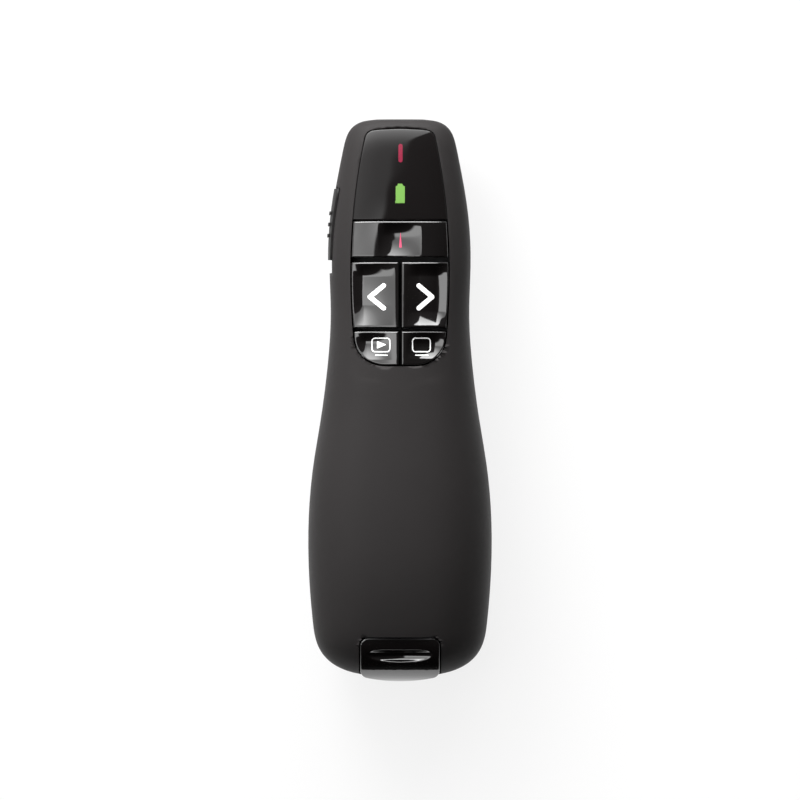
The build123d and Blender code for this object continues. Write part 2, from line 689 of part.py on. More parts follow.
switch_x = (-slider_pad + 1.1, -slider_pad + 1.1 + slide_switch_size[0])
switch_middle = slider_middle - slider_travel / 2
lever_height = (neck_middle - 0.6, neck_middle + 0.6)
with BuildPart() as slide_switch:
    block(switch_x, (switch_middle - slide_switch_size[1] / 2, switch_middle + slide_switch_size[1] / 2),
          (board_bottom - slide_switch_size[2], board_bottom))
    block((switch_x[0] - 1, switch_x[0] + 1.6),
          (slider_middle - slider_travel - fork_half, slider_middle + fork_half),
          (lever_height[0] - 0.1, lever_height[1] + 0.1), mode=Mode.SUBTRACT)
finish(slide_switch, "slide_switch")

with BuildPart() as switch_lever:
    block((-slider_floor + 0.6, switch_x[0] + 1.4),
          (slider_middle - lever_length / 2, slider_middle + lever_length / 2), lever_height)
finish(switch_lever, "switch_lever")

# ================================================== chassis for cells and receiver
bore_half, bore_top = receiver_half + receiver_fit, receiver_top + receiver_fit
plug_bore = (plug_width / 2 + receiver_fit, plug_height / 2 + receiver_fit)
with BuildPart() as cradle_ends:
    for y in ((bay_foot - cradle_wall, bay_foot), (bay_head, bay_head + cradle_wall)):
        block((-cradle_half, cradle_half), y, (battery_height - cradle_end_drop, parting_height))
    chamfer(cradle_ends.edges().filter_by(Axis.Y).group_by(Axis.Z)[0], cradle_end_chamfer)

with BuildPart() as inner_chassis:
    block((-far, far), (chassis_foot, bay_head + cradle_wall), (parting_height, chassis_floor))
    block((-bore_half - tunnel_wall, bore_half + tunnel_wall), (chassis_foot, receiver_foot + 1.3),
          (parting_height, bore_top + tunnel_wall))
    block((-plug_bore[0] - tunnel_wall, plug_bore[0] + tunnel_wall), (receiver_foot, plug_tip + 1.3),
          (parting_height, receiver_middle + plug_bore[1] + tunnel_wall))
    block((-bore_half, bore_half), (-beyond, receiver_foot + receiver_fit), (chassis_floor, bore_top),
          mode=Mode.SUBTRACT)
    block((-plug_bore[0], plug_bore[0]), (-beyond, plug_tip + receiver_fit),
          (receiver_middle - plug_bore[1], receiver_middle + plug_bore[1]), mode=Mode.SUBTRACT)
    for side in (-1, 1):
        block((side * cradle_half, side * (cradle_half + cradle_wall)),
              (bay_foot - cradle_wall, bay_head + cradle_wall), (battery_height - 0.6, parting_height))
    add(cradle_ends.part)
    block((-0.3, 0.3), (bay_foot + 4, bay_head - 4), (battery_height + 2.0, parting_height))
    add(board_form, mode=Mode.INTERSECT)
finish(inner_chassis, "inner_chassis")

# ==================================================== batteries and their contacts
head_face, foot_face = bay_head - contact_thickness, bay_foot + contact_thickness
body_length = battery_length - battery_nub_length
for name, side in (("left_battery", -1), ("right_battery", 1)):
    nub_tip = head_face if side < 0 else foot_face
    shoulder = nub_tip + side * battery_nub_length
    with BuildPart() as battery:
        rod(side * cell_x, sorted((shoulder, shoulder + side * body_length)), battery_height, battery_radius)
        chamfer(battery.edges().filter_by(GeomType.CIRCLE), 0.4)
        rod(side * cell_x, sorted((shoulder, nub_tip)), battery_height, battery_nub_radius)
    finish(battery, name)

plate_height = (battery_height - contact_half, battery_height + contact_half)
with BuildPart() as head_contacts:
    for side in (-1, 1):
        plate_x = (side * cell_x - contact_half, side * cell_x + contact_half)
        block(plate_x, (head_face, bay_head), plate_height)
finish(head_contacts, "head_contacts")

with BuildPart() as tail_contact:
    block((-cell_x - contact_half, cell_x + contact_half), (bay_foot, foot_face), plate_height)
finish(tail_contact, "tail_contact")

with BuildPart() as contact_springs:
    for side, face in ((-1, foot_face), (1, head_face)):
        x, crown = side * cell_x, face - side * (spring_gap - 0.02)
        with BuildSketch(Plane.XY.offset(battery_height - spring_half / 2)):
            with BuildLine():
                bow = ThreePointArc((x - spring_half, face), (x, crown), (x + spring_half, face))
                inner_half, inner_crown = spring_half - 2 * spring_thickness, crown + side * spring_thickness
                back = ThreePointArc((x + inner_half, face), (x, inner_crown), (x - inner_half, face))
                Line(bow @ 1, back @ 0)
                Line(back @ 1, bow @ 0)
            make_face()
        extrude(amount=spring_half)
finish(contact_springs, "contact_springs")

# ==================================================================== screws
with BuildPart() as housing_screws:
    for place in screw_places:
        post(place, (screw_seat, screw_seat + screw_length), screw_radius)
        post(place, (screw_seat - screw_head_height, screw_seat), screw_head_radius)
finish(housing_screws, "housing_screws")

with BuildPart() as board_screws:
    for place in board_screw_places:
        post(place, (board_top - board_screw_length, board_top), board_screw_radius)
        post(place, (board_top, board_top + board_screw_head_height), board_screw_head_radius)
finish(board_screws, "board_screws")

# ================================================================== receiver
tail_bulge, cap_corner = 1.05, 1.6  # how far the cap's tail bows out, and its corners
with BuildPart() as cap_plan:
    with BuildSketch(Plane.XY.offset(receiver_bottom)) as cap_outline:
        with BuildLine():
            bulge_y = tail_y + tail_bulge
            end = ThreePointArc((-cap_half, bulge_y), (0, tail_y), (cap_half, bulge_y))
            Polyline(end @ 1, (cap_half, cap_head), (-cap_half, cap_head), end @ 0)
        make_face()
        fillet(cap_outline.vertices().group_by(Axis.Y)[-1], notch_corner - receiver_fit)
        fillet(cap_outline.vertices().group_by(Axis.Y)[0], cap_corner)
    extrude(amount=overall_depth)


def cap_height(y):
    """Height of the cap's top: the form's, moved out to the tail and sunk at its head."""
    sink = cap_sink * (y - tail_y) / (cap_head - tail_y)
    return front_height(0, y + cap_stand_out) - sink


# The finger dimple is cut by a ring, deepest in the middle and running out at its ends
dimple_tube = ((dimple_width / 2) ** 2 + dimple_depth**2) / (2 * dimple_depth)
dimple_sweep = (dimple_half**2 + dimple_depth**2) / (2 * dimple_depth)
dimple_centre = (0, dimple_y, cap_height(dimple_y) + dimple_sweep - dimple_depth)
cap_steps = [tail_y + step for step in (0.6, 2.0, 4.5)] + [cap_head]
tab_half = receiver_half - receiver_wall - 0.1
with BuildPart() as receiver_cap:
    with BuildSketch(Plane.YZ):
        with BuildLine():
            bottom = Line((cap_head, receiver_bottom), (tail_y + 1.0, receiver_bottom))
            heel = TangentArc(bottom @ 1, (tail_y, receiver_bottom + 1.6), tangent=(-1, 0))
            top = Spline(heel @ 1, *[(y, cap_height(y)) for y in cap_steps])
            Line(top @ 1, bottom @ 0)
        make_face()
    extrude(amount=cap_half, both=True)
    add(cap_plan.part, mode=Mode.INTERSECT)
    with Locations(Location(dimple_centre, (90, 0, 0))):
        Torus(dimple_sweep - dimple_tube, dimple_tube, mode=Mode.SUBTRACT)
    block((-tab_half, tab_half), (cap_head, cap_head + 3.0),
          (receiver_bottom + receiver_wall + 0.1, receiver_top - receiver_wall - 0.1))
finish(receiver_cap, "receiver_cap")

with BuildPart() as receiver_body:
    with BuildSketch(Plane.XZ.offset(-cap_head)):
        with Locations((0, receiver_middle)):
            RectangleRounded(receiver_width, receiver_thickness, 1.2)
    extrude(amount=-(receiver_foot - cap_head))
    block((-receiver_half + receiver_wall, receiver_half - receiver_wall),
          (cap_head, receiver_foot - receiver_wall),
          (receiver_bottom + receiver_wall, receiver_top - receiver_wall), mode=Mode.SUBTRACT)
    block((-plug_width / 2 - plug_fit, plug_width / 2 + plug_fit), (receiver_foot - 2, receiver_foot + 1),
          (receiver_middle - plug_height / 2 - plug_fit, receiver_middle + plug_height / 2 + plug_fit),
          mode=Mode.SUBTRACT)
finish(receiver_body, "receiver_body")

with BuildPart() as usb_plug:
    with BuildSketch(Plane.XZ.offset(-plug_root)):
        with Locations((0, receiver_middle)):
            Rectangle(plug_width, plug_height)
            Rectangle(plug_width - 2 * plug_skin, plug_height - 2 * plug_skin, mode=Mode.SUBTRACT)
    extrude(amount=-(plug_tip - plug_root))
    for x in plug_windows:
        block((x - plug_window_half, x + plug_window_half),
              (plug_tip - plug_window_span[1], plug_tip - plug_window_span[0]),
              (receiver_bottom, receiver_top), mode=Mode.SUBTRACT)
finish(usb_plug, "usb_plug")

tongue_bottom = receiver_middle - plug_height / 2 + plug_skin + plug_fit
tongue_top = tongue_bottom + tongue_thickness
with BuildPart() as usb_tongue:
    block((-tongue_half, tongue_half), (plug_root, plug_tip - tongue_recess), (tongue_bottom, tongue_top))
finish(usb_tongue, "usb_tongue")

with BuildPart() as usb_contacts:
    for x in usb_contact_places:
        block((x - usb_contact_half, x + usb_contact_half),
              (plug_tip - usb_contact_span[1], plug_tip - usb_contact_span[0]),
              (tongue_top, tongue_top + usb_contact_thickness))
finish(usb_contacts, "usb_contacts")

receiver_board_top = receiver_middle - 0.3
with BuildPart() as receiver_board:
    block((-6.6, 6.6), (cap_head + 3.2, plug_root - 0.2),
          (receiver_board_top - board_thickness, receiver_board_top))
finish(receiver_board, "receiver_board")

with BuildPart() as receiver_chip:
    block((-2.5, 2.5), (-38.0, -33.0), (receiver_board_top, receiver_board_top + 0.9))
finish(receiver_chip, "receiver_chip")
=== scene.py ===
"""The looks of a wireless presentation clicker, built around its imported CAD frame.

The clicker lies on its back with the keys up: +Z leaves the front face, +Y points to the head
with the laser, and every length in the meshes is in metres.  The sizes in this file are in
millimetres, as on a drawing, and are turned to metres where they are used.
"""
from __future__ import annotations

import logging
import math
from collections.abc import Iterator
from contextlib import contextmanager
from dataclasses import dataclass, field
from enum import Enum
from typing import Any

import bpy
import numpy as np
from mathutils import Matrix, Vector
from mathutils.bvhtree import BVHTree
from mathutils.kdtree import KDTree


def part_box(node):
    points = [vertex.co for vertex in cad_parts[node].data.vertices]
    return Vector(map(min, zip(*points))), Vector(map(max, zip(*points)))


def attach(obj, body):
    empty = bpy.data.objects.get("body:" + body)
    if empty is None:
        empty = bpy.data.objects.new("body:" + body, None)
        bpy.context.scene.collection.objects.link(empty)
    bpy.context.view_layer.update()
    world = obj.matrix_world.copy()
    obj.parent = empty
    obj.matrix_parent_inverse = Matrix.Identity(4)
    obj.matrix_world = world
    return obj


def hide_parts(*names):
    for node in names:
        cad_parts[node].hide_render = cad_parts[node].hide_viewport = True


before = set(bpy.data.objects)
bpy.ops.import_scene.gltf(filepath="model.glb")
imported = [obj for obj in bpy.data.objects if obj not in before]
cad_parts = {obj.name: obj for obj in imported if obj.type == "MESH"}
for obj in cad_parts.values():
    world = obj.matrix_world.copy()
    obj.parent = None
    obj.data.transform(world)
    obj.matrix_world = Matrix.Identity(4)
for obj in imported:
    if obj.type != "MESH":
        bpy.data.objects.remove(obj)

LOG = logging.getLogger("clicker")
MM = 0.001
WELD = 0.0005  # corners of a CAD mesh that lie this near each other, in millimetres, are one
KEYS = ("laser", "back", "forward", "slideshow", "blank")

Point = tuple[float, float]


# ------------------------------------------------------------------- small helpers
def linear(hex_colour: str) -> tuple[float, float, float, float]:
    """Turn an sRGB colour into the linear colour that a shader socket takes.

    Args:
        hex_colour: Six hex digits after a hash sign, as in "#2a2a2a".

    Returns:
        Red, green, blue and an alpha of 1.
    """
    channels = []
    for start in (1, 3, 5):
        value = int(hex_colour[start:start + 2], 16) / 255
        channels.append(value / 12.92 if value <= 0.04045 else ((value + 0.055) / 1.055) ** 2.4)
    return channels[0], channels[1], channels[2], 1.0


def select_only(*pieces: bpy.types.Object) -> None:
    """Select these objects and nothing else, and make the first one active.

    Args:
        pieces: Objects of the scene.
    """
    if bpy.context.object and bpy.context.object.mode != "OBJECT":
        bpy.ops.object.mode_set(mode="OBJECT")
    bpy.ops.object.select_all(action="DESELECT")
    for piece in pieces:
        piece.select_set(True)
    bpy.context.view_layer.objects.active = pieces[0]


def start_primitive() -> None:
    """Deselect everything, so that the next primitive is alone."""
    if bpy.context.object and bpy.context.object.mode != "OBJECT":
        bpy.ops.object.mode_set(mode="OBJECT")
    bpy.ops.object.select_all(action="DESELECT")


@contextmanager
def edit_mode(whole: bool = True) -> Iterator[None]:
    """Hold the active object in edit mode while the work inside the block goes on.

    Args:
        whole: Whether all of the mesh is selected first, or the selection stays as it is.
    """
    bpy.ops.object.mode_set(mode="EDIT")
    if whole:
        bpy.ops.mesh.select_all(action="SELECT")
    yield
    bpy.ops.object.mode_set(mode="OBJECT")


def settle(piece: bpy.types.Object) -> None:
    """Put an object's place, turn and scale into its mesh.

    Args:
        piece: A mesh object.
    """
    select_only(piece)
    bpy.ops.object.transform_apply(location=True, rotation=True, scale=True)


def apply_modifier(piece: bpy.types.Object, kind: str, **settings: Any) -> None:
    """Add a modifier with its settings and apply it.

    Args:
        piece: The mesh object that takes it.
        kind: Blender's name of the modifier type.
        settings: Values of the modifier's own properties.
    """
    select_only(piece)
    modifier = piece.modifiers.new(kind.lower(), kind)
    for key, value in settings.items():
        setattr(modifier, key, value)
    bpy.ops.object.modifier_apply(modifier=modifier.name)


def merged_copy(node: str, name: str) -> bpy.types.Object:
    """Return a copy of a node's mesh whose loose triangles are joined at their corners.

    Args:
        node: Name of the CAD node.
        name: Name of the new piece.

    Returns:
        The new mesh object, at the origin.
    """
    piece = bpy.data.objects.new(name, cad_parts[node].data.copy())
    piece.data.materials.clear()
    bpy.context.scene.collection.objects.link(piece)
    select_only(piece)
    with edit_mode():
        bpy.ops.mesh.remove_doubles(threshold=WELD * MM)
    return piece


# ------------------------------------------------------------------------ finishes
def add_node(
    tree: bpy.types.NodeTree,
    kind: str,
    settings: dict[str, Any] | None = None,
    links: dict[str, Any] | None = None,
) -> bpy.types.Node:
    """Add a shader node with its settings and links.

    Args:
        tree: The material's node tree.
        kind: Blender's type name of the node.
        settings: Values by property name, or by input name or number for a socket.
        links: Output sockets by input name or number.

    Returns:
        The new node.
    """
    node = tree.nodes.new(kind)
    for key, value in (settings or {}).items():
        if isinstance(key, str) and hasattr(node, key):
            setattr(node, key, value)
        else:
            node.inputs[key].default_value = value
    for key, output in (links or {}).items():
        tree.links.new(output, node.inputs[key])
    return node


class Pattern(Enum):
    """How a surface was made, which sets the pattern of its relief."""

    SPRAYED = "sprayed soft-touch speckle"
    POLISHED = "long low waves of a polished mould"
    ERODED = "spark-eroded grain of a satin mould"
    BRUSHED = "lines drawn out along the part"
    TURNED = "rings left by a lathe"
    TRACKS = "copper tracks under solder mask"
    PRINTED = "flat layer of printing ink"


# How much a pattern is drawn out, as its scale across, along and up.
STRETCH = {Pattern.BRUSHED: (1.0, 0.04, 1.0), Pattern.TRACKS: (1.0, 0.22, 1.0)}
NO_STRETCH = (1.0, 1.0, 1.0)
# Finer layers of noise on top of a pattern's own: none on a polished mould, many in a grain.
DETAIL = {Pattern.POLISHED: 0.0, Pattern.PRINTED: 1.0}
GRAIN_DETAIL = 2.5
# A wave texture draws three rings where noise of the same scale has one grain.  At a sixth of
# the scale the rings stand nearly two spacings apart, coarse enough to show.
RING_SCALE = 1 / 6
CLOUD_SIZE = 9.0  # millimetres from one cloud of the slow mottle to the next


@dataclass(frozen=True)
class Finish:
    """One real surface, with the sizes of its pattern in millimetres.

    The base colour drifts by the mottle either way and the roughness by the wear, both with the
    same slow clouds.
    """

    name: str
    slot: str
    colour: str
    roughness: float
    pattern: Pattern
    spacing: float
    relief: float
    mottle: float = 0.06
    wear: float = 0.05
    metallic: float = 0.0
    ior: float = 1.5
    coat: float = 0.0
    coat_roughness: float = 0.03
    transmission: float = 0.0
    second_colour: str = ""

    def _height(self, tree: bpy.types.NodeTree, place: Any) -> Any:
        """Return the output socket with the height of the pattern, from 0 to 1.

        Args:
            tree: The material's node tree.
            place: Output socket with the object coordinates, in metres.

        Returns:
            The socket.
        """
        scale = 1.0 / (self.spacing * MM)
        stretch = STRETCH.get(self.pattern, NO_STRETCH)
        mapped = add_node(tree, "ShaderNodeMapping", {"Scale": stretch}, {"Vector": place})
        if self.pattern is Pattern.TURNED:
            rings = add_node(
                tree, "ShaderNodeTexWave",
                {
                    "wave_type": "BANDS", "bands_direction": "Y",
                    "Scale": scale * RING_SCALE, "Distortion": 0.4,
                },
                {"Vector": mapped.outputs["Vector"]},
            )
            return rings.outputs["Fac"]
        if self.pattern is Pattern.TRACKS:
            cells = add_node(
                tree, "ShaderNodeTexVoronoi",
                {"feature": "F1", "distance": "CHEBYCHEV", "Scale": scale},
                {"Vector": mapped.outputs["Vector"]},
            )
            step = add_node(
                tree, "ShaderNodeMapRange",
                {"interpolation_type": "SMOOTHSTEP", "From Min": 0.36, "From Max": 0.42},
                {"Value": cells.outputs["Distance"]},
            )
            return step.outputs["Result"]
        noise = add_node(
            tree, "ShaderNodeTexNoise",
            {"Scale": scale, "Detail": DETAIL.get(self.pattern, GRAIN_DETAIL), "Roughness": 0.55},
            {"Vector": mapped.outputs["Vector"]},
        )
        return noise.outputs["Fac"]

    def material(self) -> bpy.types.Material:
        """Return the finish as a material, made once and then shared."""
        found = bpy.data.materials.get(self.name)
        if found:
            return found
        material = bpy.data.materials.new(self.name)
        material.use_nodes = True
        tree = material.node_tree
        tree.nodes.clear()
        place = add_node(tree, "ShaderNodeTexCoord").outputs["Object"]
        height = self._height(tree, place)
        # slow cloudiness: no moulding or coat is one even colour all over
        cloud = add_node(
            tree, "ShaderNodeTexNoise",
            {"Scale": 1.0 / (CLOUD_SIZE * MM), "Detail": 2.0, "Roughness": 0.5},
            {"Vector": place},
        ).outputs["Fac"]
        base = linear(self.colour)
        darker = tuple(channel * (1.0 - self.mottle) for channel in base[:3]) + (1.0,)
        lighter = tuple(min(channel * (1.0 + self.mottle), 1.0) for channel in base[:3]) + (1.0,)
        colour = add_node(
            tree, "ShaderNodeMix",
            {"data_type": "RGBA", 6: darker, 7: lighter},
            {0: cloud},
        ).outputs[2]
        if self.second_colour:
            colour = add_node(
                tree, "ShaderNodeMix",
                {"data_type": "RGBA", 7: linear(self.second_colour)},
                {0: height, 6: colour},
            ).outputs[2]
        roughness = add_node(
            tree, "ShaderNodeMapRange",
            {"To Min": max(self.roughness - self.wear, 0.01), "To Max": self.roughness + self.wear},
            {"Value": cloud},
        ).outputs["Result"]
        bump = add_node(
            tree, "ShaderNodeBump",
            {"Strength": 1.0, "Distance": self.relief * MM},
            {"Height": height},
        ).outputs["Normal"]
        settings: dict[str, Any] = {
            "Metallic": self.metallic,
            "Coat Weight": self.coat,
            "Coat Roughness": self.coat_roughness,
            "Transmission Weight": self.transmission,
        }
        if not self.metallic:
            settings["IOR"] = self.ior
        shader = add_node(
            tree, "ShaderNodeBsdfPrincipled", settings,
            {"Base Color": colour, "Roughness": roughness, "Normal": bump},
        )
        add_node(tree, "ShaderNodeOutputMaterial", None, {"Surface": shader.outputs["BSDF"]})
        return material

    def dress(self, piece: bpy.types.Object) -> None:
        """Give a piece this finish all over.

        Args:
            piece: A mesh object, a CAD node's or a new one.
        """
        piece.data.materials.clear()
        piece.data.materials.append(self.material())


# ABS with a sprayed polyurethane coat: no gloss, a broad soft highlight that greys every edge.
# The speckle of the spray is under 0.1 mm, and is drawn at 0.3 mm to show at all.
SOFT_TOUCH = Finish(
    "soft_touch_coat", "body_plastic", "#2a2828", 0.55, Pattern.SPRAYED, 0.3, 0.004,
    mottle=0.05, wear=0.03, ior=1.24,
)
# The door is a shot of its own, a little duller than the shells.
SOFT_TOUCH_DOOR = Finish(
    "soft_touch_coat_of_the_door", "door_plastic", "#292828", 0.58, Pattern.SPRAYED, 0.3, 0.004,
    mottle=0.05, wear=0.03, ior=1.24,
)
# Bare ABS from an eroded mould: satin, with the grain of the mould.
SATIN_ABS = Finish(
    "satin_abs", "slider_plastic", "#1c1b1b", 0.5, Pattern.ERODED, 0.25, 0.003, ior=1.3,
)
# ABS and acrylic from a polished mould: mirror-like and black, with the low waves of moulding.
PIANO_BLACK = Finish(
    "piano_black_abs", "key_plastic", "#0f0d0d", 0.07, Pattern.POLISHED, 7.0, 0.004,
    mottle=0.02, wear=0.02, ior=1.8, coat=1.0,
)
# Acrylic dyed with smoke, black all over here: the glow of the lamps through the real lens is a painted
# glow, laid as coloured marks on its face, and everything else stays black.
SMOKED_ACRYLIC = Finish(
    "smoked_acrylic", "lens_plastic", "#131111", 0.06, Pattern.POLISHED, 9.0, 0.004,
    mottle=0.02, wear=0.015, ior=1.4,
)
# Clear dyed acrylic of a light guide. Its colour is both its dye and a painted glow: the same colour is
# laid on the lens as a mark, where the lit guide shows through.
RED_DYE_AND_PAINTED_GLOW = Finish(
    "red_guide_dye_and_painted_glow", "light_guide_red", "#7a1c34", 0.12, Pattern.POLISHED, 1.2, 0.004,
    mottle=0.1, wear=0.04, ior=1.49,
)
# The green guide's colour is likewise its dye and a painted glow, laid on the lens as a mark.
GREEN_DYE_AND_PAINTED_GLOW = Finish(
    "green_guide_dye_and_painted_glow", "light_guide_green", "#6b984b", 0.12, Pattern.POLISHED, 1.2, 0.004,
    mottle=0.06, wear=0.04, ior=1.49,
)
# Screen-printing ink: a thin even layer with a slightly chalky face.
WHITE_INK = Finish(
    "white_screen_ink", "key_plastic", "#fdfdfc", 0.38, Pattern.PRINTED, 0.15, 0.002, mottle=0.03,
)
RED_INK = Finish(
    "red_screen_ink", "key_plastic", "#cc4668", 0.3, Pattern.PRINTED, 0.15, 0.002, mottle=0.05,
)
# Uncoated mouldings inside the case. The key frame is black plastic, and its dark colour also stands
# for the shade in the gaps between the keys: painted shade.
FRAME_ABS_AND_PAINTED_GAP_SHADE = Finish(
    "black_frame_abs_and_painted_gap_shade", "frame_plastic", "#1c1c1d", 0.5, Pattern.ERODED, 0.35, 0.006,
)
CHASSIS_ABS = Finish(
    "natural_chassis_abs", "chassis_plastic", "#3d3d40", 0.5, Pattern.ERODED, 0.35, 0.006,
)
# Glass-epoxy board: copper tracks stand up under a green mask, a shade lighter than the rest.
SOLDER_MASK = Finish(
    "solder_mask_on_copper", "circuit_board", "#1d5a34", 0.32, Pattern.TRACKS, 1.6, 0.02,
    ior=1.5, coat=0.25, second_colour="#12432a",
)
EPOXY = Finish(
    "moulded_epoxy", "chip_plastic", "#1c1c1d", 0.6, Pattern.ERODED, 0.2, 0.006,
)
# Tin-plated steel sheet of the key switches, brushed when it was rolled.
SWITCH_STEEL = Finish(
    "tinned_switch_steel", "switch_steel", "#b9bbbd", 0.34, Pattern.BRUSHED, 0.12, 0.003, metallic=1.0,
)
LED_BODY = Finish(
    "led_ceramic", "led_white", "#e6e4da", 0.45, Pattern.ERODED, 0.2, 0.003, mottle=0.03,
)
# Turned brass: a warm metal with the rings of the tool.
TURNED_BRASS = Finish(
    "turned_brass", "barrel_brass", "#cfa75c", 0.26, Pattern.TURNED, 0.25, 0.006, metallic=1.0,
)
# Pressed glass of the collimating lens.
LENS_GLASS = Finish(
    "pressed_lens_glass", "optic", "#eef4f6", 0.02, Pattern.POLISHED, 3.0, 0.0005,
    mottle=0.0, wear=0.005, ior=1.52, transmission=1.0,
)
RED_WINDOW = Finish(
    "dark_red_window_acrylic", "window_dark", "#3a0b10", 0.06, Pattern.POLISHED, 2.0, 0.002,
    ior=1.49, coat=0.5,
)
# Shrunk plastic sleeve of a cell, silver-grey and slightly wavy.
CELL_SLEEVE = Finish(
    "shrunk_cell_sleeve", "battery_wrap", "#8f9296", 0.24, Pattern.POLISHED, 4.0, 0.02,
    mottle=0.08, ior=1.5, coat=0.4,
)
NICKEL = Finish(
    "bright_nickel_plate", "contact_metal", "#c9c6be", 0.18, Pattern.BRUSHED, 0.15, 0.002, metallic=1.0,
)
ZINC = Finish(
    "zinc_plated_steel", "screw_steel", "#a9abae", 0.3, Pattern.TURNED, 0.2, 0.003, metallic=1.0,
)
RECEIVER_ABS = Finish(
    "satin_receiver_abs", "receiver_plastic", "#1f1e1e", 0.42, Pattern.ERODED, 0.25, 0.003,
)
# Deep-drawn plug shell: nickel over steel, with faint draw lines along it.
PLUG_NICKEL = Finish(
    "drawn_plug_shell_nickel", "plug_steel", "#c4c3c0", 0.22, Pattern.BRUSHED, 0.2, 0.003, metallic=1.0,
)
TONGUE_PLASTIC = Finish(
    "white_tongue_plastic", "tongue_plastic", "#dcdcda", 0.4, Pattern.ERODED, 0.2, 0.003, mottle=0.03,
)
GOLD_FLASH = Finish(
    "gold_flash", "contact_gold", "#e6b75a", 0.2, Pattern.BRUSHED, 0.1, 0.001, metallic=1.0,
)


def dress_nodes(finishes: dict[str, Finish]) -> None:
    """Give CAD nodes their finishes; their meshes stay as they are.

    Args:
        finishes: The finish of each node, by the node's name.
    """
    for node, finish in finishes.items():
        finish.dress(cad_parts[node])
        LOG.info("node %s: %s", node, finish.name)


def place_piece(piece: bpy.types.Object, body: str, finish: Finish, *nodes: str) -> None:
    """Dress a new piece, put it on its body and hide the nodes that it stands for.

    Args:
        piece: The finished mesh object.
        body: Name of the CAD body that it moves with.
        finish: Its finish.
        nodes: The CAD nodes that it replaces, if any.
    """
    finish.dress(piece)
    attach(piece, body)
    if nodes:
        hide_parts(*nodes)
    LOG.info("piece %s on %s: %s, %d faces", piece.name, body, finish.name, len(piece.data.polygons))


# ------------------------------------------------------------------------- mouldings
def corners_of(piece: bpy.types.Object) -> tuple[np.ndarray, np.ndarray]:
    """Return where a mesh's corners are and which way they face.

    Args:
        piece: A mesh object.

    Returns:
        Places in metres and normals, one row for each corner.
    """
    count = len(piece.data.vertices)
    places, normals = np.empty(count * 3), np.empty(count * 3)
    piece.data.vertices.foreach_get("co", places)
    piece.data.vertex_normals.foreach_get("vector", normals)
    return places.reshape(-1, 3), normals.reshape(-1, 3)


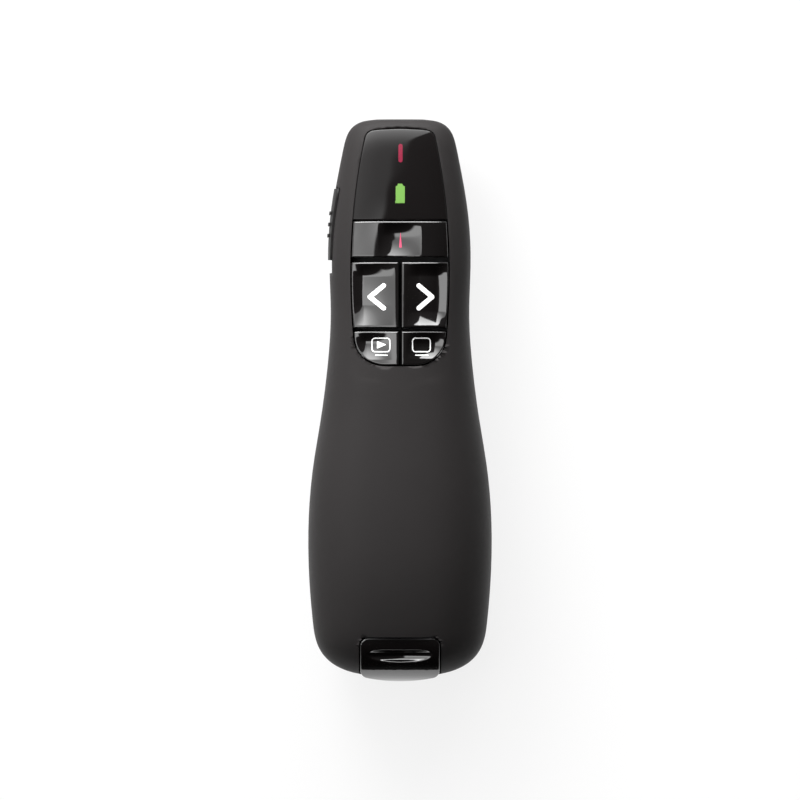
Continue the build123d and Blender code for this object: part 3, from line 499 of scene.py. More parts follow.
@dataclass
class FrontFace:
    """The smooth front face of the form, fitted to the corners of the CAD triangles.

    The corners lie on the true face and only the flat triangles between them leave it, so a
    smooth polynomial through the corners takes the facets out.  Near the foot of the opening it
    misses the true face by up to half a millimetre.  Sizes are in millimetres, and a tilt is the
    upward part of a normal.
    """

    skins: tuple[str, ...] = ("top_shell", "indicator_lens")
    dished: tuple[str, ...] = tuple(f"{key}_key" for key in KEYS)
    half_width: float = 12.5
    foot: float = 0.0
    head: float = 55.9
    across_powers: tuple[int, ...] = (0, 2, 4, 6, 8)
    along_powers: tuple[int, ...] = (0, 1, 2, 3, 4, 5, 6, 7, 8)
    wall_tilt: float = 0.2
    dish_tilt: float = 0.9
    sight_height: float = 100.0
    sight_slack: float = 0.01
    tolerance: float = 0.02
    spread: float = 1.5
    slope_step: float = 0.01
    border: float = 0.6
    foot_border: float = 6.0
    passes: int = 8
    weights: np.ndarray = field(default_factory=lambda: np.zeros(1))

    def _terms(self, x: np.ndarray, y: np.ndarray) -> np.ndarray:
        """Work out the polynomial's terms at places in metres.

        Args:
            x: Places across.
            y: Places along.

        Returns:
            One row of terms for each place.
        """
        across = x / (self.half_width * MM)
        middle, half = (self.head + self.foot) / 2 * MM, (self.head - self.foot) / 2 * MM
        along = (y - middle) / half
        return np.stack(
            [across**i * along**j for i in self.across_powers for j in self.along_powers], axis=1,
        )

    def _seen_corners(self) -> np.ndarray:
        """Collect the CAD corners near the keys that are seen from straight above.

        Returns:
            Their places in metres, one row each.
        """
        places = []
        for node in self.skins + self.dished:
            copy = merged_copy(node, "front_face_probe")
            tree = BVHTree.FromObject(copy, bpy.context.evaluated_depsgraph_get())
            corners, normals = corners_of(copy)
            near = (np.abs(corners[:, 0]) < self.half_width * MM) & (normals[:, 2] > self.wall_tilt)
            if node in self.dished:
                near &= normals[:, 2] < self.dish_tilt
            near &= (corners[:, 1] > self.foot * MM) & (corners[:, 1] < self.head * MM)
            for corner in corners[near]:
                above = Vector((corner[0], corner[1], self.sight_height * MM))
                hit = tree.ray_cast(above, Vector((0, 0, -1)))[0]
                if hit is None or abs(hit.z - corner[2]) < self.sight_slack * MM:
                    places.append(corner)
            bpy.data.objects.remove(copy)
        return np.array(places)

    def fit(self) -> None:
        """Fit the polynomial, and leave out corners that a dish or an edge takes off the face."""
        corners = self._seen_corners()
        terms = self._terms(corners[:, 0], corners[:, 1])
        kept = np.ones(len(corners), dtype=bool)
        for _ in range(self.passes):
            self.weights = np.linalg.lstsq(terms[kept], corners[kept, 2], rcond=None)[0]
            missed = np.abs(terms @ self.weights - corners[:, 2])
            limit = max(self.tolerance * MM, self.spread * float(np.median(missed[kept])))
            kept = missed < limit
        LOG.info(
            "front face: %d of %d corners, %.4f mm off in the middle, %.4f mm at most",
            kept.sum(), len(corners), np.median(missed) / MM, missed[kept].max() / MM,
        )

    def height(self, x: np.ndarray, y: np.ndarray) -> np.ndarray:
        """Return the height of the face over places x across and y along, all in metres."""
        return self._terms(x, y) @ self.weights

    def normal(self, x: np.ndarray, y: np.ndarray) -> np.ndarray:
        """Work out the outward normals of the face from its slopes.

        Args:
            x: Places across, in metres.
            y: Places along.

        Returns:
            One normal in a row for each place.
        """
        step = self.slope_step * MM
        across = (self.height(x + step, y) - self.height(x - step, y)) / (2 * step)
        along = (self.height(x, y + step) - self.height(x, y - step)) / (2 * step)
        rows = np.stack([-across, -along, np.ones_like(x)], axis=1)
        return rows / np.linalg.norm(rows, axis=1, keepdims=True)

    def trust(self, x: np.ndarray, y: np.ndarray) -> np.ndarray:
        """Say how far the face may be trusted at places, with a soft border round its field.

        Args:
            x: Places across, in metres.
            y: Places along.

        Returns:
            1 well inside the fitted field and 0 outside.
        """
        sides = (
            (self.half_width - np.abs(x) / MM) / self.border,
            (y / MM - self.foot) / self.foot_border,
            (self.head - y / MM) / self.border,
        )
        share = np.clip(np.minimum.reduce(sides), 0, 1)
        return share**2 * (3 - 2 * share)


@dataclass(frozen=True)
class Scoop:
    """A soft hollow in a key's face, in millimetres, between its low and high corners.

    The face drops at once at the hollow's outline and levels out over a slope of its own width
    on each side, so each side can be steep or gentle.
    """

    depth: float
    low: Point
    high: Point
    across: Point
    along: Point
    power: float = 1.35

    def _share(self, place: np.ndarray, axis: int, widths: Point) -> np.ndarray:
        """Work out how far the hollow has come to its full depth along one axis.

        Args:
            place: Places along the axis, in metres.
            axis: 0 across, 1 along.
            widths: Widths of the slopes at the low and at the high side.

        Returns:
            0 outside the hollow and 1 where it is at full depth.
        """
        low = np.clip((place / MM - self.low[axis]) / widths[0], 0, 1)
        high = np.clip((self.high[axis] - place / MM) / widths[1], 0, 1)
        return (1 - (1 - low) ** self.power) * (1 - (1 - high) ** self.power)

    def sink(self, x: np.ndarray, y: np.ndarray) -> np.ndarray:
        """Return how far the face lies below the form at places x and y, all in metres."""
        return self.depth * MM * self._share(x, 0, self.across) * self._share(y, 1, self.along)


@dataclass
class Moulding:
    """A moulded piece taken from its CAD solid, with the surface that its finish needs.

    Only a piece that is part of the smooth front face is given that face.  A triangle of it
    belongs to the front if its corners lie within off_front of the fitted face, and a corner
    takes the face's normal less and less until it lies fade off it, both in millimetres.
    """

    node: str
    body: str
    finish: Finish
    smooth_angle: float = 32.0
    face: FrontFace | None = None
    off_front: float = 0.3
    fade: float = 0.09

    @property
    def name(self) -> str:
        """Return the piece's name."""
        return f"{self.node}_moulding"

    def build(self) -> bpy.types.Object:
        """Return the solid's own faces, joined and shaded smooth."""
        piece = merged_copy(self.node, self.name)
        select_only(piece)
        bpy.ops.object.shade_smooth_by_angle(angle=math.radians(self.smooth_angle))
        apply_modifier(piece, "WEIGHTED_NORMAL", weight=100, keep_sharp=True)
        if self.face:
            self._calm(piece, self.face)
        return piece

    def _calm(self, piece: bpy.types.Object, front: FrontFace) -> None:
        """Take the normals round the opening from the smooth face, as thin triangles bend them.

        Args:
            piece: The shell.
            front: The smooth face that it lies on there.
        """
        mesh = piece.data
        count = len(mesh.loops)
        owners, old = np.empty(count, dtype=int), np.empty(count * 3)
        mesh.loops.foreach_get("vertex_index", owners)
        mesh.corner_normals.foreach_get("vector", old)
        sizes = np.empty(len(mesh.polygons), dtype=int)
        mesh.polygons.foreach_get("loop_total", sizes)
        old = old.reshape(-1, 3)
        places = corners_of(piece)[0][owners]
        new = front.normal(places[:, 0], places[:, 1])
        off = np.abs(front.height(places[:, 0], places[:, 1]) - places[:, 2])
        # a face of the front has all its corners on the form, one of the opening's wall has not
        starts = np.concatenate([[0], np.cumsum(sizes)[:-1]])
        on_front = np.repeat(np.maximum.reduceat(off, starts) < self.off_front * MM, sizes)
        share = np.where(on_front, front.trust(places[:, 0], places[:, 1]), 0.0)
        # where the fit misses the true face, the mesh keeps normals of its own
        share = (share * np.clip(1.0 - off / (self.fade * MM), 0.0, 1.0))[:, None]
        mixed = old * (1 - share) + new * share
        mixed /= np.linalg.norm(mixed, axis=1, keepdims=True)
        mesh.normals_split_custom_set(mixed.tolist())

    def dress(self, piece: bpy.types.Object) -> None:
        """Finish the piece and put it in the place of its node.

        Args:
            piece: What build returned.
        """
        place_piece(piece, self.body, self.finish, self.node)


@dataclass
class PolishedMoulding(Moulding):
    """A moulding from a polished mould, with an even fine skin and a rolled rim.

    The front reaches down to deepest below the form, and the sides that bound it to side_depth.
    A normal whose upward part is under side_tilt belongs to a side.
    """

    voxel: float = 0.12
    passes: int = 3
    scoop: Scoop | None = None
    rim_radius: float = 0.3
    side_depth: float = 0.8
    side_tilt: float = 0.35
    deepest: float = 1.6

    def build(self) -> bpy.types.Object:
        """Return the piece with its front on the smooth face of the form."""
        piece = merged_copy(self.node, self.name)
        self.skin(piece)
        return piece

    def skin(self, piece: bpy.types.Object) -> None:
        """Cover a closed mesh with an even skin and fair its front.

        Args:
            piece: The mesh object, changed in place.
        """
        apply_modifier(piece, "REMESH", mode="VOXEL", voxel_size=self.voxel * MM, adaptivity=0.0)
        apply_modifier(piece, "SMOOTH", factor=0.5, iterations=self.passes)
        if self.face:
            self._fair(piece, self.face)
        select_only(piece)
        bpy.ops.object.shade_smooth()

    def _fair(self, piece: bpy.types.Object, face: FrontFace) -> None:
        """Lay the front on the smooth face, with its scoop and its rolled rim.

        Args:
            piece: The mesh object, changed in place.
            face: The smooth face of the form.
        """
        corners, normals = corners_of(piece)
        x, y = corners[:, 0], corners[:, 1]
        form = face.height(x, y)
        below = form - corners[:, 2]
        front = (normals[:, 2] > self.side_tilt) & (below < self.deepest * MM)
        side = (np.abs(normals[:, 2]) <= self.side_tilt) & (below < self.side_depth * MM)
        tree = KDTree(int(side.sum()))
        for index, corner in enumerate(corners[side]):
            tree.insert((corner[0], corner[1], 0.0), index)
        tree.balance()
        rim = np.full(len(corners), math.inf)
        rim[front] = [tree.find((place[0], place[1], 0.0))[2] for place in corners[front]]
        radius = self.rim_radius * MM
        inward = np.clip(radius - rim, 0.0, radius)
        roll = radius - np.sqrt(radius**2 - inward**2)
        sink = self.scoop.sink(x, y) if self.scoop else 0.0
        corners[front, 2] = (form - roll - sink)[front]
        low_rim = ~front & (below < radius)
        corners[low_rim, 2] = (form - radius)[low_rim]
        piece.data.vertices.foreach_set("co", corners.ravel())
        piece.data.update()


@dataclass
class Housing:
    """The two shells, the battery door and the power slider."""

    face: FrontFace

    def build(self) -> None:
        """Make the shells, the door and the slider and put them in place."""
        for moulding in (
            Moulding("top_shell", "housing", SOFT_TOUCH, face=self.face),
            Moulding("bottom_shell", "housing", SOFT_TOUCH),
            Moulding("battery_door", "battery_door", SOFT_TOUCH_DOOR),
            Moulding("power_slider", "power_slider", SATIN_ABS),
        ):
            moulding.dress(moulding.build())


@dataclass
class LensUnit:
    """The smoked lens at the head, the light guides under it, and marks on its face that are a painted
    glow of the guides.
    """

    face: FrontFace
    rim_radius: float = 0.2
    window_margin: float = 0.25
    wall_tilt: float = 0.3
    red_ends: tuple[Point, Point] = ((0.1, 52.1), (0.1, 49.05))
    red_widths: Point = (0.62, 0.66)
    green_body: tuple[Point, Point] = ((-0.88, 40.42), (0.98, 43.85))
    green_nub: Point = (1.1, 0.32)

    def _close_window(self, lens: bpy.types.Object, node: str) -> None:
        """Close a light guide's window in the lens, so that its front is one polished face.

        Args:
            lens: A copy of the lens.
            node: The light guide's node.
        """
        low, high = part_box(node)
        margin = self.window_margin * MM
        for edge in lens.data.edges:
            edge.select = False
        for corner in lens.data.vertices:
            corner.select = False
        for side in lens.data.polygons:
            within = all(
                low[axis] - margin < side.center[axis] < high[axis] + margin for axis in (0, 1)
            )
            side.select = within and abs(side.normal.z) < self.wall_tilt
        select_only(lens)
        with edit_mode(whole=False):
            bpy.ops.mesh.select_mode(type="FACE")
            bpy.ops.mesh.delete(type="FACE")
            bpy.ops.mesh.select_mode(type="VERT")
            bpy.ops.mesh.select_all(action="SELECT")
            bpy.ops.mesh.fill_holes(sides=0)
            bpy.ops.mesh.select_all(action="SELECT")
            bpy.ops.mesh.normals_make_consistent(inside=False)

    def build(self) -> None:
        """Make the lens and the marks on it that are a painted glow of the light guides."""
        moulding = PolishedMoulding(
            "indicator_lens", "housing", SMOKED_ACRYLIC, face=self.face, rim_radius=self.rim_radius,
        )
        guides = {"red_light_pipe": RED_DYE_AND_PAINTED_GLOW, "green_light_pipe": GREEN_DYE_AND_PAINTED_GLOW}
        lens = merged_copy(moulding.node, moulding.name)
        for node in guides:
            self._close_window(lens, node)
        moulding.skin(lens)
        moulding.dress(lens)
        dress_nodes(guides)
        # painted glow: guide-coloured marks laid on the lens face, with no lamp behind them
        drawer = MarkDrawer()
        red = drawer.stroke(*self.red_ends, *self.red_widths)
        green = drawer.cell(*self.green_body, *self.green_nub)
        for parts, name, finish in (
            ([red], "red_painted_glow_mark", RED_DYE_AND_PAINTED_GLOW),
            ([green], "green_painted_glow_mark", GREEN_DYE_AND_PAINTED_GLOW),
        ):
            place_piece(drawer.print_on(parts, name, lens), "housing", finish)


# ---------------------------------------------------------------------- keys and marks
@dataclass
class MarkDrawer:
    """Draws thin printed marks that lie on a curved face.

    Sizes are in millimetres.  A mark is drawn flat at start_height, cut at each step and laid
    on the face below it with the thickness of the ink.
    """

    ink: float = 0.05
    step: float = 0.5
    start_height: float = 35.0
    cap_points: int = 24
    plate_segments: int = 6
    arrow_corner: float = 0.12
    cell_corner: float = 0.14
    corner_segments: int = 3
    slack: float = 0.01
    weld: float = 0.002
    flat_angle: float = 1.0
    smooth_angle: float = 40.0

    def stroke(
        self, start: Point, end: Point, start_width: float, end_width: float,
    ) -> bpy.types.Object:
        """Return a flat stroke with round ends, which may taper.

        Args:
            start: Middle of its first end, in millimetres.
            end: Middle of its second end.
            start_width: Its width at the first end.
            end_width: Its width at the second end.

        Returns:
            The flat mesh, high above the face that it goes to.
        """
        start_primitive()
        first = Vector((start[0], start[1], self.start_height)) * MM
        last = Vector((end[0], end[1], self.start_height)) * MM
        along = (last - first).normalized()
        bpy.ops.mesh.primitive_circle_add(
            vertices=self.cap_points, radius=start_width / 2 * MM, fill_type="NGON", location=first,
        )
        mark = bpy.context.object
        mark.rotation_euler.z = math.atan2(along.y, along.x)
        settle(mark)
        # the half circle that faces the other end goes there, its two outermost points included
        least = -self.slack * start_width * MM / 2
        for vertex in mark.data.vertices:
            vertex.select = (vertex.co - first).dot(along) > least
        self._select_faces_by_vertices(mark)
        with edit_mode(whole=False):
            bpy.ops.transform.translate(value=last - first)
            bpy.ops.transform.resize(value=(end_width / start_width,) * 3, center_override=last)
        return mark

    @staticmethod
    def _select_faces_by_vertices(mark: bpy.types.Object) -> None:
        """Let the vertex selection alone say what is selected.

        Args:
            mark: A mesh object in object mode.
        """
        for side in (*mark.data.edges, *mark.data.polygons):
            side.select = all(mark.data.vertices[index].select for index in side.vertices)

    def _rectangle(self, low: Point, high: Point) -> bpy.types.Object:
        """Return a flat rectangle between its low and high corners, high above the face."""
        start_primitive()
        middle = Vector(((low[0] + high[0]) / 2, (low[1] + high[1]) / 2, self.start_height)) * MM
        bpy.ops.mesh.primitive_plane_add(size=1.0, location=middle)
        mark = bpy.context.object
        mark.scale = ((high[0] - low[0]) * MM, (high[1] - low[1]) * MM, 1.0)
        settle(mark)
        return mark

    def plate(self, low: Point, high: Point, corner: float, line: float) -> bpy.types.Object:
        """Return the flat outline of a rounded rectangle.

        Args:
            low: Its lower left corner, in millimetres.
            high: Its upper right corner.
            corner: Radius of its corners.
            line: Width of the outline.

        Returns:
            The flat mesh, high above the face that it goes to.
        """
        mark = self._rectangle(low, high)
        with edit_mode():
            bpy.ops.mesh.bevel(offset=corner * MM, segments=self.plate_segments, affect="VERTICES")
            bpy.ops.mesh.select_all(action="SELECT")
            bpy.ops.mesh.inset(thickness=line * MM)
            bpy.ops.mesh.delete(type="FACE")
        return mark

    def arrowhead(self, tip: Point, length: float, half: float) -> bpy.types.Object:
        """Return a flat triangle that points to +X.

        Args:
            tip: Its point, in millimetres.
            length: Its size along X.
            half: Half its size along Y.

        Returns:
            The flat mesh, high above the face that it goes to.
        """
        start_primitive()
        middle = Vector((tip[0] - length * 2 / 3, tip[1], self.start_height)) * MM
        bpy.ops.mesh.primitive_circle_add(vertices=3, radius=1.0, fill_type="NGON", location=middle)
        mark = bpy.context.object
        mark.rotation_euler.z = -math.pi / 2
        settle(mark)
        # the triangle starts on a circle of radius one: 1.5 long and twice cos 30 wide
        sides = (length * MM / 1.5, half * MM / math.cos(math.pi / 6), 1.0)
        with edit_mode():
            bpy.ops.transform.resize(value=sides, center_override=middle)
            bpy.ops.mesh.bevel(
                offset=self.arrow_corner * MM, segments=self.corner_segments, affect="VERTICES",
            )
        return mark

    def cell(self, low: Point, high: Point, nub: float, rise: float) -> bpy.types.Object:
        """Return the flat outline of a standing cell: a body with a nub on its top edge.

        Args:
            low: Lower left corner of the body, in millimetres.
            high: Upper right corner of the body.
            nub: Width of the nub.
            rise: Height of the nub.

        Returns:
            The flat mesh, high above the face that it goes to.
        """
        mark = self._rectangle(low, high)
        middle = (low[0] + high[0]) / 2
        with edit_mode():
            for side in (-1, 1):
                bpy.ops.mesh.select_all(action="SELECT")
                edge = ((middle + side * nub / 2) * MM, 0, 0)
                bpy.ops.mesh.bisect(plane_co=edge, plane_no=(1, 0, 0))
        for vertex in mark.data.vertices:
            over = abs(vertex.co.x / MM - middle) < nub / 2 + self.slack
            vertex.select = over and vertex.co.y / MM > high[1] - self.slack
        self._select_faces_by_vertices(mark)
        with edit_mode(whole=False):
            bpy.ops.mesh.extrude_region_move(TRANSFORM_OT_translate={"value": (0, rise * MM, 0)})
            bpy.ops.mesh.select_all(action="SELECT")
            bpy.ops.mesh.dissolve_limited(angle_limit=math.radians(self.flat_angle))
            bpy.ops.mesh.bevel(
                offset=self.cell_corner * MM, segments=self.corner_segments, affect="VERTICES",
            )
        return mark

    def _slice(self, mark: bpy.types.Object) -> None:
        """Cut a flat mark along X and Y at even steps, so that it can follow a curved face.

        Args:
            mark: The flat mesh.
        """
        low = [min(vertex.co[axis] for vertex in mark.data.vertices) for axis in (0, 1)]
        high = [max(vertex.co[axis] for vertex in mark.data.vertices) for axis in (0, 1)]
        select_only(mark)
        with edit_mode(whole=False):
            for axis, normal in ((0, (1, 0, 0)), (1, (0, 1, 0))):
                count = int((high[axis] - low[axis]) / (self.step * MM))
                for index in range(1, count + 1):
                    point = [0.0, 0.0, 0.0]
                    point[axis] = low[axis] + index * (high[axis] - low[axis]) / (count + 1)
                    bpy.ops.mesh.select_all(action="SELECT")
                    bpy.ops.mesh.bisect(plane_co=point, plane_no=normal)

    def print_on(
        self, parts: list[bpy.types.Object], name: str, face: bpy.types.Object,
    ) -> bpy.types.Object:
        """Join flat marks into one printed piece that lies on a face.

        Args:
            parts: The flat meshes.
            name: Name of the printed piece.
            face: The piece that carries it.

        Returns:
            The printed piece, with its thickness.
        """
        for part in parts:
            self._slice(part)
        select_only(*parts)
        if len(parts) > 1:
            bpy.ops.object.join()
        mark = bpy.context.object
        mark.name = name
        with edit_mode():
            bpy.ops.mesh.remove_doubles(threshold=self.weld * MM)
        apply_modifier(
            mark, "SHRINKWRAP", target=face, wrap_method="PROJECT", use_project_z=True,
            use_negative_direction=True, use_positive_direction=False,
        )
        apply_modifier(mark, "SOLIDIFY", thickness=self.ink * MM, offset=0.0)
        select_only(mark)
        with edit_mode():
            bpy.ops.mesh.normals_make_consistent(inside=False)
        bpy.ops.object.shade_smooth_by_angle(angle=math.radians(self.smooth_angle))
        return mark


@dataclass
class KeyCluster:
    """The five polished keys and the marks printed on them, with sizes in millimetres.

    A scoop gives its depth, its low and high corners, and the widths of its slopes at the left
    and the right and at the foot and the head.
    """

    face: FrontFace
    drawer: MarkDrawer = field(default_factory=MarkDrawer)
    laser_scoop: Scoop = Scoop(0.95, (-4.4, 29.3), (4.4, 36.2), (2.6, 6.2), (4.4, 2.5), power=1.7)
    back_scoop: Scoop = Scoop(1.15, (-9.75, 15.2), (-1.0, 27.9), (2.3, 6.4), (4.2, 2.6))
    forward_scoop: Scoop = Scoop(1.2, (1.0, 15.2), (9.75, 27.9), (3.0, 2.3), (2.9, 2.6))
    show_scoop: Scoop = Scoop(0.8, (-9.2, 8.2), (-1.3, 13.9), (2.4, 6.0), (3.4, 2.0))
    blank_scoop: Scoop = Scoop(0.8, (1.3, 8.4), (9.2, 13.9), (3.0, 2.2), (2.6, 2.4))
    chevron_width: float = 0.97
    back_chevron: tuple[Point, Point, Point] = ((-3.35, 23.4), (-6.15, 21.1), (-3.35, 18.8))
    forward_chevron: tuple[Point, Point, Point] = ((3.85, 23.4), (6.55, 21.1), (3.85, 18.8))
    laser_mark: tuple[Point, Point] = ((0.1, 34.1), (0.1, 31.4))
    laser_mark_widths: Point = (0.1, 0.5)
    screen_span: tuple[float, float] = (9.75, 12.75)
    screen_corner: float = 0.75
    screen_line: float = 0.22
    show_screen: tuple[float, float] = (-5.84, -1.95)
    blank_screen: tuple[float, float] = (2.45, 6.3)
    show_foot: tuple[float, float] = (-5.0, -2.6)
    blank_foot: tuple[float, float] = (3.2, 5.7)
    foot_height: float = 9.15
    foot_line: float = 0.22
    arrow_tip: Point = (-2.8, 11.3)
    arrow_length: float = 1.9
    arrow_half: float = 0.78

    def _key(self, name: str, scoop: Scoop) -> bpy.types.Object:
        """Make one key and put it on its body.

        Args:
            name: The key's function, as in its node's name.
            scoop: The hollow in its face.

        Returns:
            The key's moulding.
        """
        node = f"{name}_key"
        moulding = PolishedMoulding(node, node, PIANO_BLACK, face=self.face, scoop=scoop)
        piece = moulding.build()
        moulding.dress(piece)
        return piece

    def _chevron(self, corners: tuple[Point, Point, Point]) -> list[bpy.types.Object]:
        """Draw the two strokes of a chevron.

        Args:
            corners: One end, the tip and the other end.

        Returns:
            The flat strokes, which meet at the tip's height.
        """
        tip, width = corners[1], self.chevron_width
        strokes = []
        for end in (corners[0], corners[2]):
            stroke = self.drawer.stroke(end, tip, width, width)
            select_only(stroke)
            # the strokes mirror each other, so that each may end at the tip's height
            side = (0, 1 if end[1] > tip[1] else -1, 0)
            with edit_mode():
                bpy.ops.mesh.bisect(plane_co=(0, tip[1] * MM, 0), plane_no=side, clear_inner=True)
            strokes.append(stroke)
        return strokes

    def _foot(self, span: tuple[float, float]) -> bpy.types.Object:
        """Return the short line under a screen symbol, whose ends along X are given."""
        start, end = (span[0], self.foot_height), (span[1], self.foot_height)
        return self.drawer.stroke(start, end, self.foot_line, self.foot_line)

    def _screen(self, span: tuple[float, float]) -> bpy.types.Object:
        """Return the outline of a screen symbol, whose sides along X are given."""
        foot, head = self.screen_span
        return self.drawer.plate(
            (span[0], foot), (span[1], head), self.screen_corner, self.screen_line,
        )

    def build(self) -> None:
        """Make the keys and print their marks."""
        show_marks = [
            self._screen(self.show_screen),
            self.drawer.arrowhead(self.arrow_tip, self.arrow_length, self.arrow_half),
            self._foot(self.show_foot),
        ]
        blank_marks = [self._screen(self.blank_screen), self._foot(self.blank_foot)]
        laser_marks = [self.drawer.stroke(*self.laser_mark, *self.laser_mark_widths)]
        for name, scoop, parts, ink in (
            ("laser", self.laser_scoop, laser_marks, RED_INK),
            ("back", self.back_scoop, self._chevron(self.back_chevron), WHITE_INK),
            ("forward", self.forward_scoop, self._chevron(self.forward_chevron), WHITE_INK),
            ("slideshow", self.show_scoop, show_marks, WHITE_INK),
            ("blank", self.blank_scoop, blank_marks, WHITE_INK),
        ):
            key = self._key(name, scoop)
            mark = self.drawer.print_on(parts, f"{name}_key_print", key)
            place_piece(mark, f"{name}_key", ink)


@dataclass
class Receiver:
    """The receiver that is stowed in the tail, with its glossy cap and its plug."""

    passes: int = 10

    def build(self) -> None:
        """Make the cap and dress the rest of the receiver."""
        cap = PolishedMoulding("receiver_cap", "receiver", PIANO_BLACK, passes=self.passes)
        cap.dress(cap.build())
        dress_nodes({
            "receiver_body": RECEIVER_ABS,
            "usb_plug": PLUG_NICKEL,
            "usb_tongue": TONGUE_PLASTIC,
            "usb_contacts": GOLD_FLASH,
            "receiver_board": SOLDER_MASK,
            "receiver_chip": EPOXY,
        })


@dataclass
class Electronics:
    """Everything inside the case: board, switches, lamps, laser, cells and contacts."""

    def build(self) -> None:
        """Dress the nodes inside the case."""
        dress_nodes({
            # the key frame's dark colour is partly painted shade of the gaps between the keys
            "key_frame": FRAME_ABS_AND_PAINTED_GAP_SHADE,
            "main_board": SOLDER_MASK,
            "key_switches": SWITCH_STEEL,
            "red_led": LED_BODY,
            "green_led": LED_BODY,
            "controller_chip": EPOXY,
            "radio_chip": EPOXY,
            "timing_crystal": SWITCH_STEEL,
            "slide_switch": SWITCH_STEEL,
            "switch_lever": EPOXY,
            "laser_barrel": TURNED_BRASS,
            "laser_lens": LENS_GLASS,
            "laser_diode": GOLD_FLASH,
            "laser_window": RED_WINDOW,
            "inner_chassis": CHASSIS_ABS,
            "left_battery": CELL_SLEEVE,
            "right_battery": CELL_SLEEVE,
            "head_contacts": NICKEL,
            "tail_contact": NICKEL,
            "contact_springs": NICKEL,
            "housing_screws": ZINC,
            "board_screws": ZINC,
            **{f"{key}_switch_plunger": EPOXY for key in KEYS},
        })


# ---------------------------------------------------------------------------- studio
@dataclass
class SoftBox:
    """One soft lamp: its middle and its size in metres, and the brightness of its face.

    It gives the fall of light from the head to the tail; the glossy pieces mirror the ceiling's
    bank in its place.
    """

    name: str
    middle: tuple[float, float, float]
    width: float
    height: float
    brightness: float

    def build(self) -> None:
        """Hang the lamp and turn it to the object."""
        start_primitive()
        bpy.ops.object.light_add(type="AREA", location=self.middle)
        lamp = bpy.context.object
        lamp.name = self.name
        lamp.data.shape = "RECTANGLE"
        lamp.data.size, lamp.data.size_y = self.width, self.height
        lamp.data.energy = self.brightness * math.pi * self.width * self.height
        lamp.rotation_mode = "QUATERNION"
        lamp.rotation_quaternion = (-Vector(self.middle)).to_track_quat("-Z", "Y")
        lamp.visible_glossy = False
        lamp.visible_camera = False


@dataclass(frozen=True)
class LightBank:
    """The bank of light in the ceiling, on a plane overhead at a height of one.

    Places on the plane are x to the right and y towards the head.  The curves say, for each y,
    where the bank's right edge lies and how bright it is.  A fade gives where the bank starts
    and where it is whole, and past the place of gain_along it is lighter to the left, by up to
    left_gain where gain_across starts.
    """

    edge: tuple[Point, ...] = (
        (-0.5, -0.1), (0.28, -0.1), (0.37, -0.09), (0.49, -0.01), (0.75, 0.06), (1.1, 0.3),
        (1.39, 0.55), (2.64, 1.2), (4.0, 1.6),
    )
    glow: tuple[Point, ...] = (
        (-0.5, 2.1), (0.2, 2.0), (0.26, 1.5), (0.32, 1.0), (0.38, 0.85), (0.5, 0.9),
        (0.64, 1.4), (0.99, 3.2), (1.4, 4.6), (1.91, 7.0), (2.64, 10.0), (4.0, 10.0),
    )
    softness: float = 0.03
    left_fade: Point = (-1.8, -1.4)
    foot_fade: Point = (-0.3, -0.1)
    left_gain: float = 0.6
    gain_across: Point = (-1.1, -0.1)
    gain_along: Point = (0.27, 0.33)


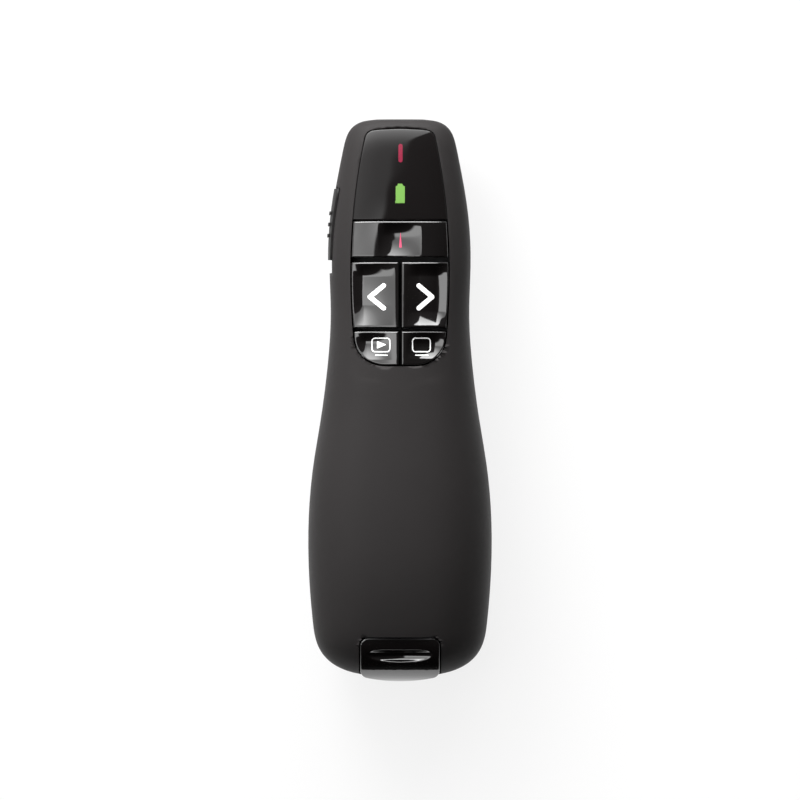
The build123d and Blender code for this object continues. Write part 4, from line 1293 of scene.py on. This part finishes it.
@dataclass
class Studio:
    """The pale floor, the soft lights and the camera straight above the keys.

    The floor's radius and thickness and the camera's distance are in metres.  The camera sees
    view_width at the height of view_plane, both in millimetres.  A band gives the two directions
    between which the sky goes from one level to the other.
    """

    floor_radius: float = 12.0
    floor_sides: int = 96
    floor_thickness: float = 0.02
    floor_gap: float = 0.02
    floor_colour: str = "#d4d4d4"
    paper_roughness: float = 0.5
    camera_distance: float = 1.5
    view_width: float = 164.57
    view_plane: float = 13.4
    sensor: float = 36.0
    paper_shade: float = 0.16
    paper_white: float = 0.84
    horizon: float = 0.5
    zenith: float = 0.03
    horizon_band: tuple[float, float] = (0.1, 0.35)
    brightest_side: tuple[float, float] = (-0.4, 0.9)
    side_band: tuple[float, float] = (-0.6, 0.9)
    side_levels: tuple[float, float] = (0.06, 2.4)
    lowest_rise: float = 0.02
    bank: LightBank = LightBank()
    lamps: tuple[SoftBox, ...] = (SoftBox("head_soft_box", (-0.09, 0.16, 0.13), 0.1, 0.1, 12.0),)

    def _floor(self) -> None:
        """Lay a round pale slab under the clicker."""
        start_primitive()
        bpy.ops.mesh.primitive_circle_add(
            vertices=self.floor_sides, radius=self.floor_radius, fill_type="NGON",
            location=(0, 0, -self.floor_gap * MM),
        )
        floor = bpy.context.object
        floor.name = "studio_floor"
        down = (0, 0, -self.floor_thickness)
        with edit_mode():
            bpy.ops.mesh.extrude_region_move(TRANSFORM_OT_translate={"value": down})
            bpy.ops.mesh.select_all(action="SELECT")
            bpy.ops.mesh.normals_make_consistent(inside=False)
        settle(floor)
        floor.data.materials.append(self._paper())

    def _paper(self) -> bpy.types.Material:
        """Return matt white studio paper, which keeps a faint shadow."""
        paper = bpy.data.materials.new("studio_paper")
        paper.use_nodes = True
        tree = paper.node_tree
        tree.nodes.clear()
        # as seen, also in metal and glass, the paper is part lit and part white of itself: its
        # shadow stays, but faint
        plain, shaded = (
            add_node(
                tree, "ShaderNodeBsdfDiffuse", {"Color": colour, "Roughness": self.paper_roughness},
            ).outputs["BSDF"]
            for colour in (linear(self.floor_colour), (self.paper_shade,) * 3 + (1.0,))
        )
        white = add_node(tree, "ShaderNodeEmission", {"Strength": self.paper_white}).outputs["Emission"]
        seen = add_node(tree, "ShaderNodeAddShader", None, {0: shaded, 1: white}).outputs["Shader"]
        path = add_node(tree, "ShaderNodeLightPath").outputs
        ray = self._math(tree, "MAXIMUM", path["Is Camera Ray"], path["Is Glossy Ray"])
        ray = self._math(tree, "MAXIMUM", ray, path["Is Transmission Ray"])
        surface = add_node(tree, "ShaderNodeMixShader", None, {0: ray, 1: plain, 2: seen})
        add_node(tree, "ShaderNodeOutputMaterial", None, {"Surface": surface.outputs["Shader"]})
        return paper

    def _sky(self) -> None:
        """Surround the set with a pale horizon under a dark ceiling that holds the light bank."""
        world = bpy.data.worlds.new("studio_sky")
        bpy.context.scene.world = world
        world.use_nodes = True
        tree = world.node_tree
        tree.nodes.clear()
        way = add_node(tree, "ShaderNodeTexCoord").outputs["Generated"]
        split = add_node(tree, "ShaderNodeSeparateXYZ", None, {0: way})
        rise = split.outputs["Z"]
        # places on a plane overhead, at a height of one: x to the right, y towards the head
        over = self._math(tree, "MAXIMUM", rise, self.lowest_rise)
        x = self._math(tree, "DIVIDE", split.outputs["X"], over)
        y = self._math(tree, "DIVIDE", split.outputs["Y"], over)
        level = self._ramp(tree, rise, *self.horizon_band, self.horizon, self.zenith)
        # the room is lightest behind the head, a little to the left
        sideways = self._math(tree, "MULTIPLY", split.outputs["X"], self.brightest_side[0])
        facing = self._math(tree, "MULTIPLY", split.outputs["Y"], self.brightest_side[1])
        facing = self._math(tree, "ADD", facing, sideways)
        level = self._math(
            tree, "MULTIPLY", level, self._ramp(tree, facing, *self.side_band, *self.side_levels),
        )
        level = self._math(tree, "ADD", level, self._bank(tree, x, y, self.bank))
        sky = add_node(tree, "ShaderNodeBackground", {"Color": (1, 1, 1, 1)}, {"Strength": level})
        add_node(tree, "ShaderNodeOutputWorld", None, {"Surface": sky.outputs["Background"]})

    @staticmethod
    def _math(tree: bpy.types.NodeTree, operation: str, first: Any, second: Any) -> Any:
        """Add one sum, whose terms are sockets or numbers.

        Args:
            tree: The node tree that takes it.
            operation: Blender's name of the operation.
            first: The first term.
            second: The second term.

        Returns:
            The socket with its result.
        """
        settings: dict[Any, Any] = {"operation": operation}
        links: dict[Any, Any] = {}
        for index, term in enumerate((first, second)):
            (settings if isinstance(term, (int, float)) else links)[index] = term
        return add_node(tree, "ShaderNodeMath", settings, links).outputs[0]

    @staticmethod
    def _ramp(
        tree: bpy.types.NodeTree, value: Any, start: float, end: float, low: float, high: float,
    ) -> Any:
        """Add a smooth step from low to high as a value goes from start to end.

        Args:
            tree: The sky's node tree.
            value: The socket that is read.
            start: Value at which the step starts.
            end: Value at which it is complete.
            low: Result before the step.
            high: Result after it.

        Returns:
            The socket with the result.
        """
        settings = {
            "interpolation_type": "SMOOTHSTEP",
            "From Min": start, "From Max": end, "To Min": low, "To Max": high,
        }
        return add_node(tree, "ShaderNodeMapRange", settings, {"Value": value}).outputs["Result"]

    @staticmethod
    def _curve(tree: bpy.types.NodeTree, value: Any, points: tuple[Point, ...]) -> Any:
        """Add a smooth curve through points, read at a value.

        Args:
            tree: The sky's node tree.
            value: The socket that is read.
            points: Value and result at each point, in rising order.

        Returns:
            The socket with the result.
        """
        start, end = points[0][0], points[-1][0]
        low, high = min(point[1] for point in points), max(point[1] for point in points)
        share = add_node(
            tree, "ShaderNodeMapRange", {"From Min": start, "From Max": end}, {"Value": value},
        ).outputs["Result"]
        curve = add_node(tree, "ShaderNodeFloatCurve", None, {"Value": share})
        line = curve.mapping.curves[0]
        places = [
            ((place - start) / (end - start), (level - low) / (high - low))
            for place, level in points
        ]
        line.points[0].location, line.points[-1].location = places[0], places[-1]
        for place in places[1:-1]:
            line.points.new(*place)
        for point in line.points:
            point.handle_type = "AUTO_CLAMPED"
        curve.mapping.update()
        settings = {"To Min": low, "To Max": high}
        return add_node(
            tree, "ShaderNodeMapRange", settings, {"Value": curve.outputs["Value"]},
        ).outputs["Result"]

    def _bank(self, tree: bpy.types.NodeTree, x: Any, y: Any, bank: LightBank) -> Any:
        """Add the glow of the light bank.

        Args:
            tree: The sky's node tree.
            x: Place across on the plane overhead.
            y: Place along on it.
            bank: The bank's edges and brightness.

        Returns:
            The socket with its brightness.
        """
        past = self._math(tree, "SUBTRACT", x, self._curve(tree, y, bank.edge))
        right = self._ramp(tree, past, -bank.softness, bank.softness, 1, 0)
        left = self._ramp(tree, x, *bank.left_fade, 0, 1)
        foot = self._ramp(tree, y, *bank.foot_fade, 0, 1)
        gain = self._math(
            tree, "MULTIPLY", self._ramp(tree, x, *bank.gain_across, bank.left_gain, 0),
            self._ramp(tree, y, *bank.gain_along, 0, 1),
        )
        glow = self._curve(tree, y, bank.glow)
        for side in (self._math(tree, "ADD", gain, 1.0), right, left, foot):
            glow = self._math(tree, "MULTIPLY", glow, side)
        return glow

    def _camera(self) -> None:
        """Set the camera straight above, with the head of the clicker up."""
        camera = bpy.data.cameras.new("front_camera")
        camera.sensor_width = self.sensor
        camera.lens = self.sensor * self.camera_distance / (self.view_width * MM)
        holder = bpy.data.objects.new("front_camera", camera)
        holder.location = (0.0, 0.0, self.view_plane * MM + self.camera_distance)
        bpy.context.scene.collection.objects.link(holder)
        bpy.context.scene.camera = holder

    def build(self) -> None:
        """Set up the floor, the sky with its light bank, the lamp and the camera."""
        self._floor()
        self._sky()
        for lamp in self.lamps:
            lamp.build()
        self._camera()
        bpy.context.scene.view_settings.view_transform = "Standard"


# ------------------------------------------------------------------------------ main
def main() -> None:
    """Build the clicker's looks in order."""
    logging.basicConfig(level=logging.INFO, format="%(name)s: %(message)s")
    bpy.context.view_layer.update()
    Electronics().build()
    face = FrontFace()
    face.fit()
    Housing(face).build()
    LensUnit(face).build()
    KeyCluster(face).build()
    Receiver().build()
    Studio().build()


if __name__ == "__main__":
    main()
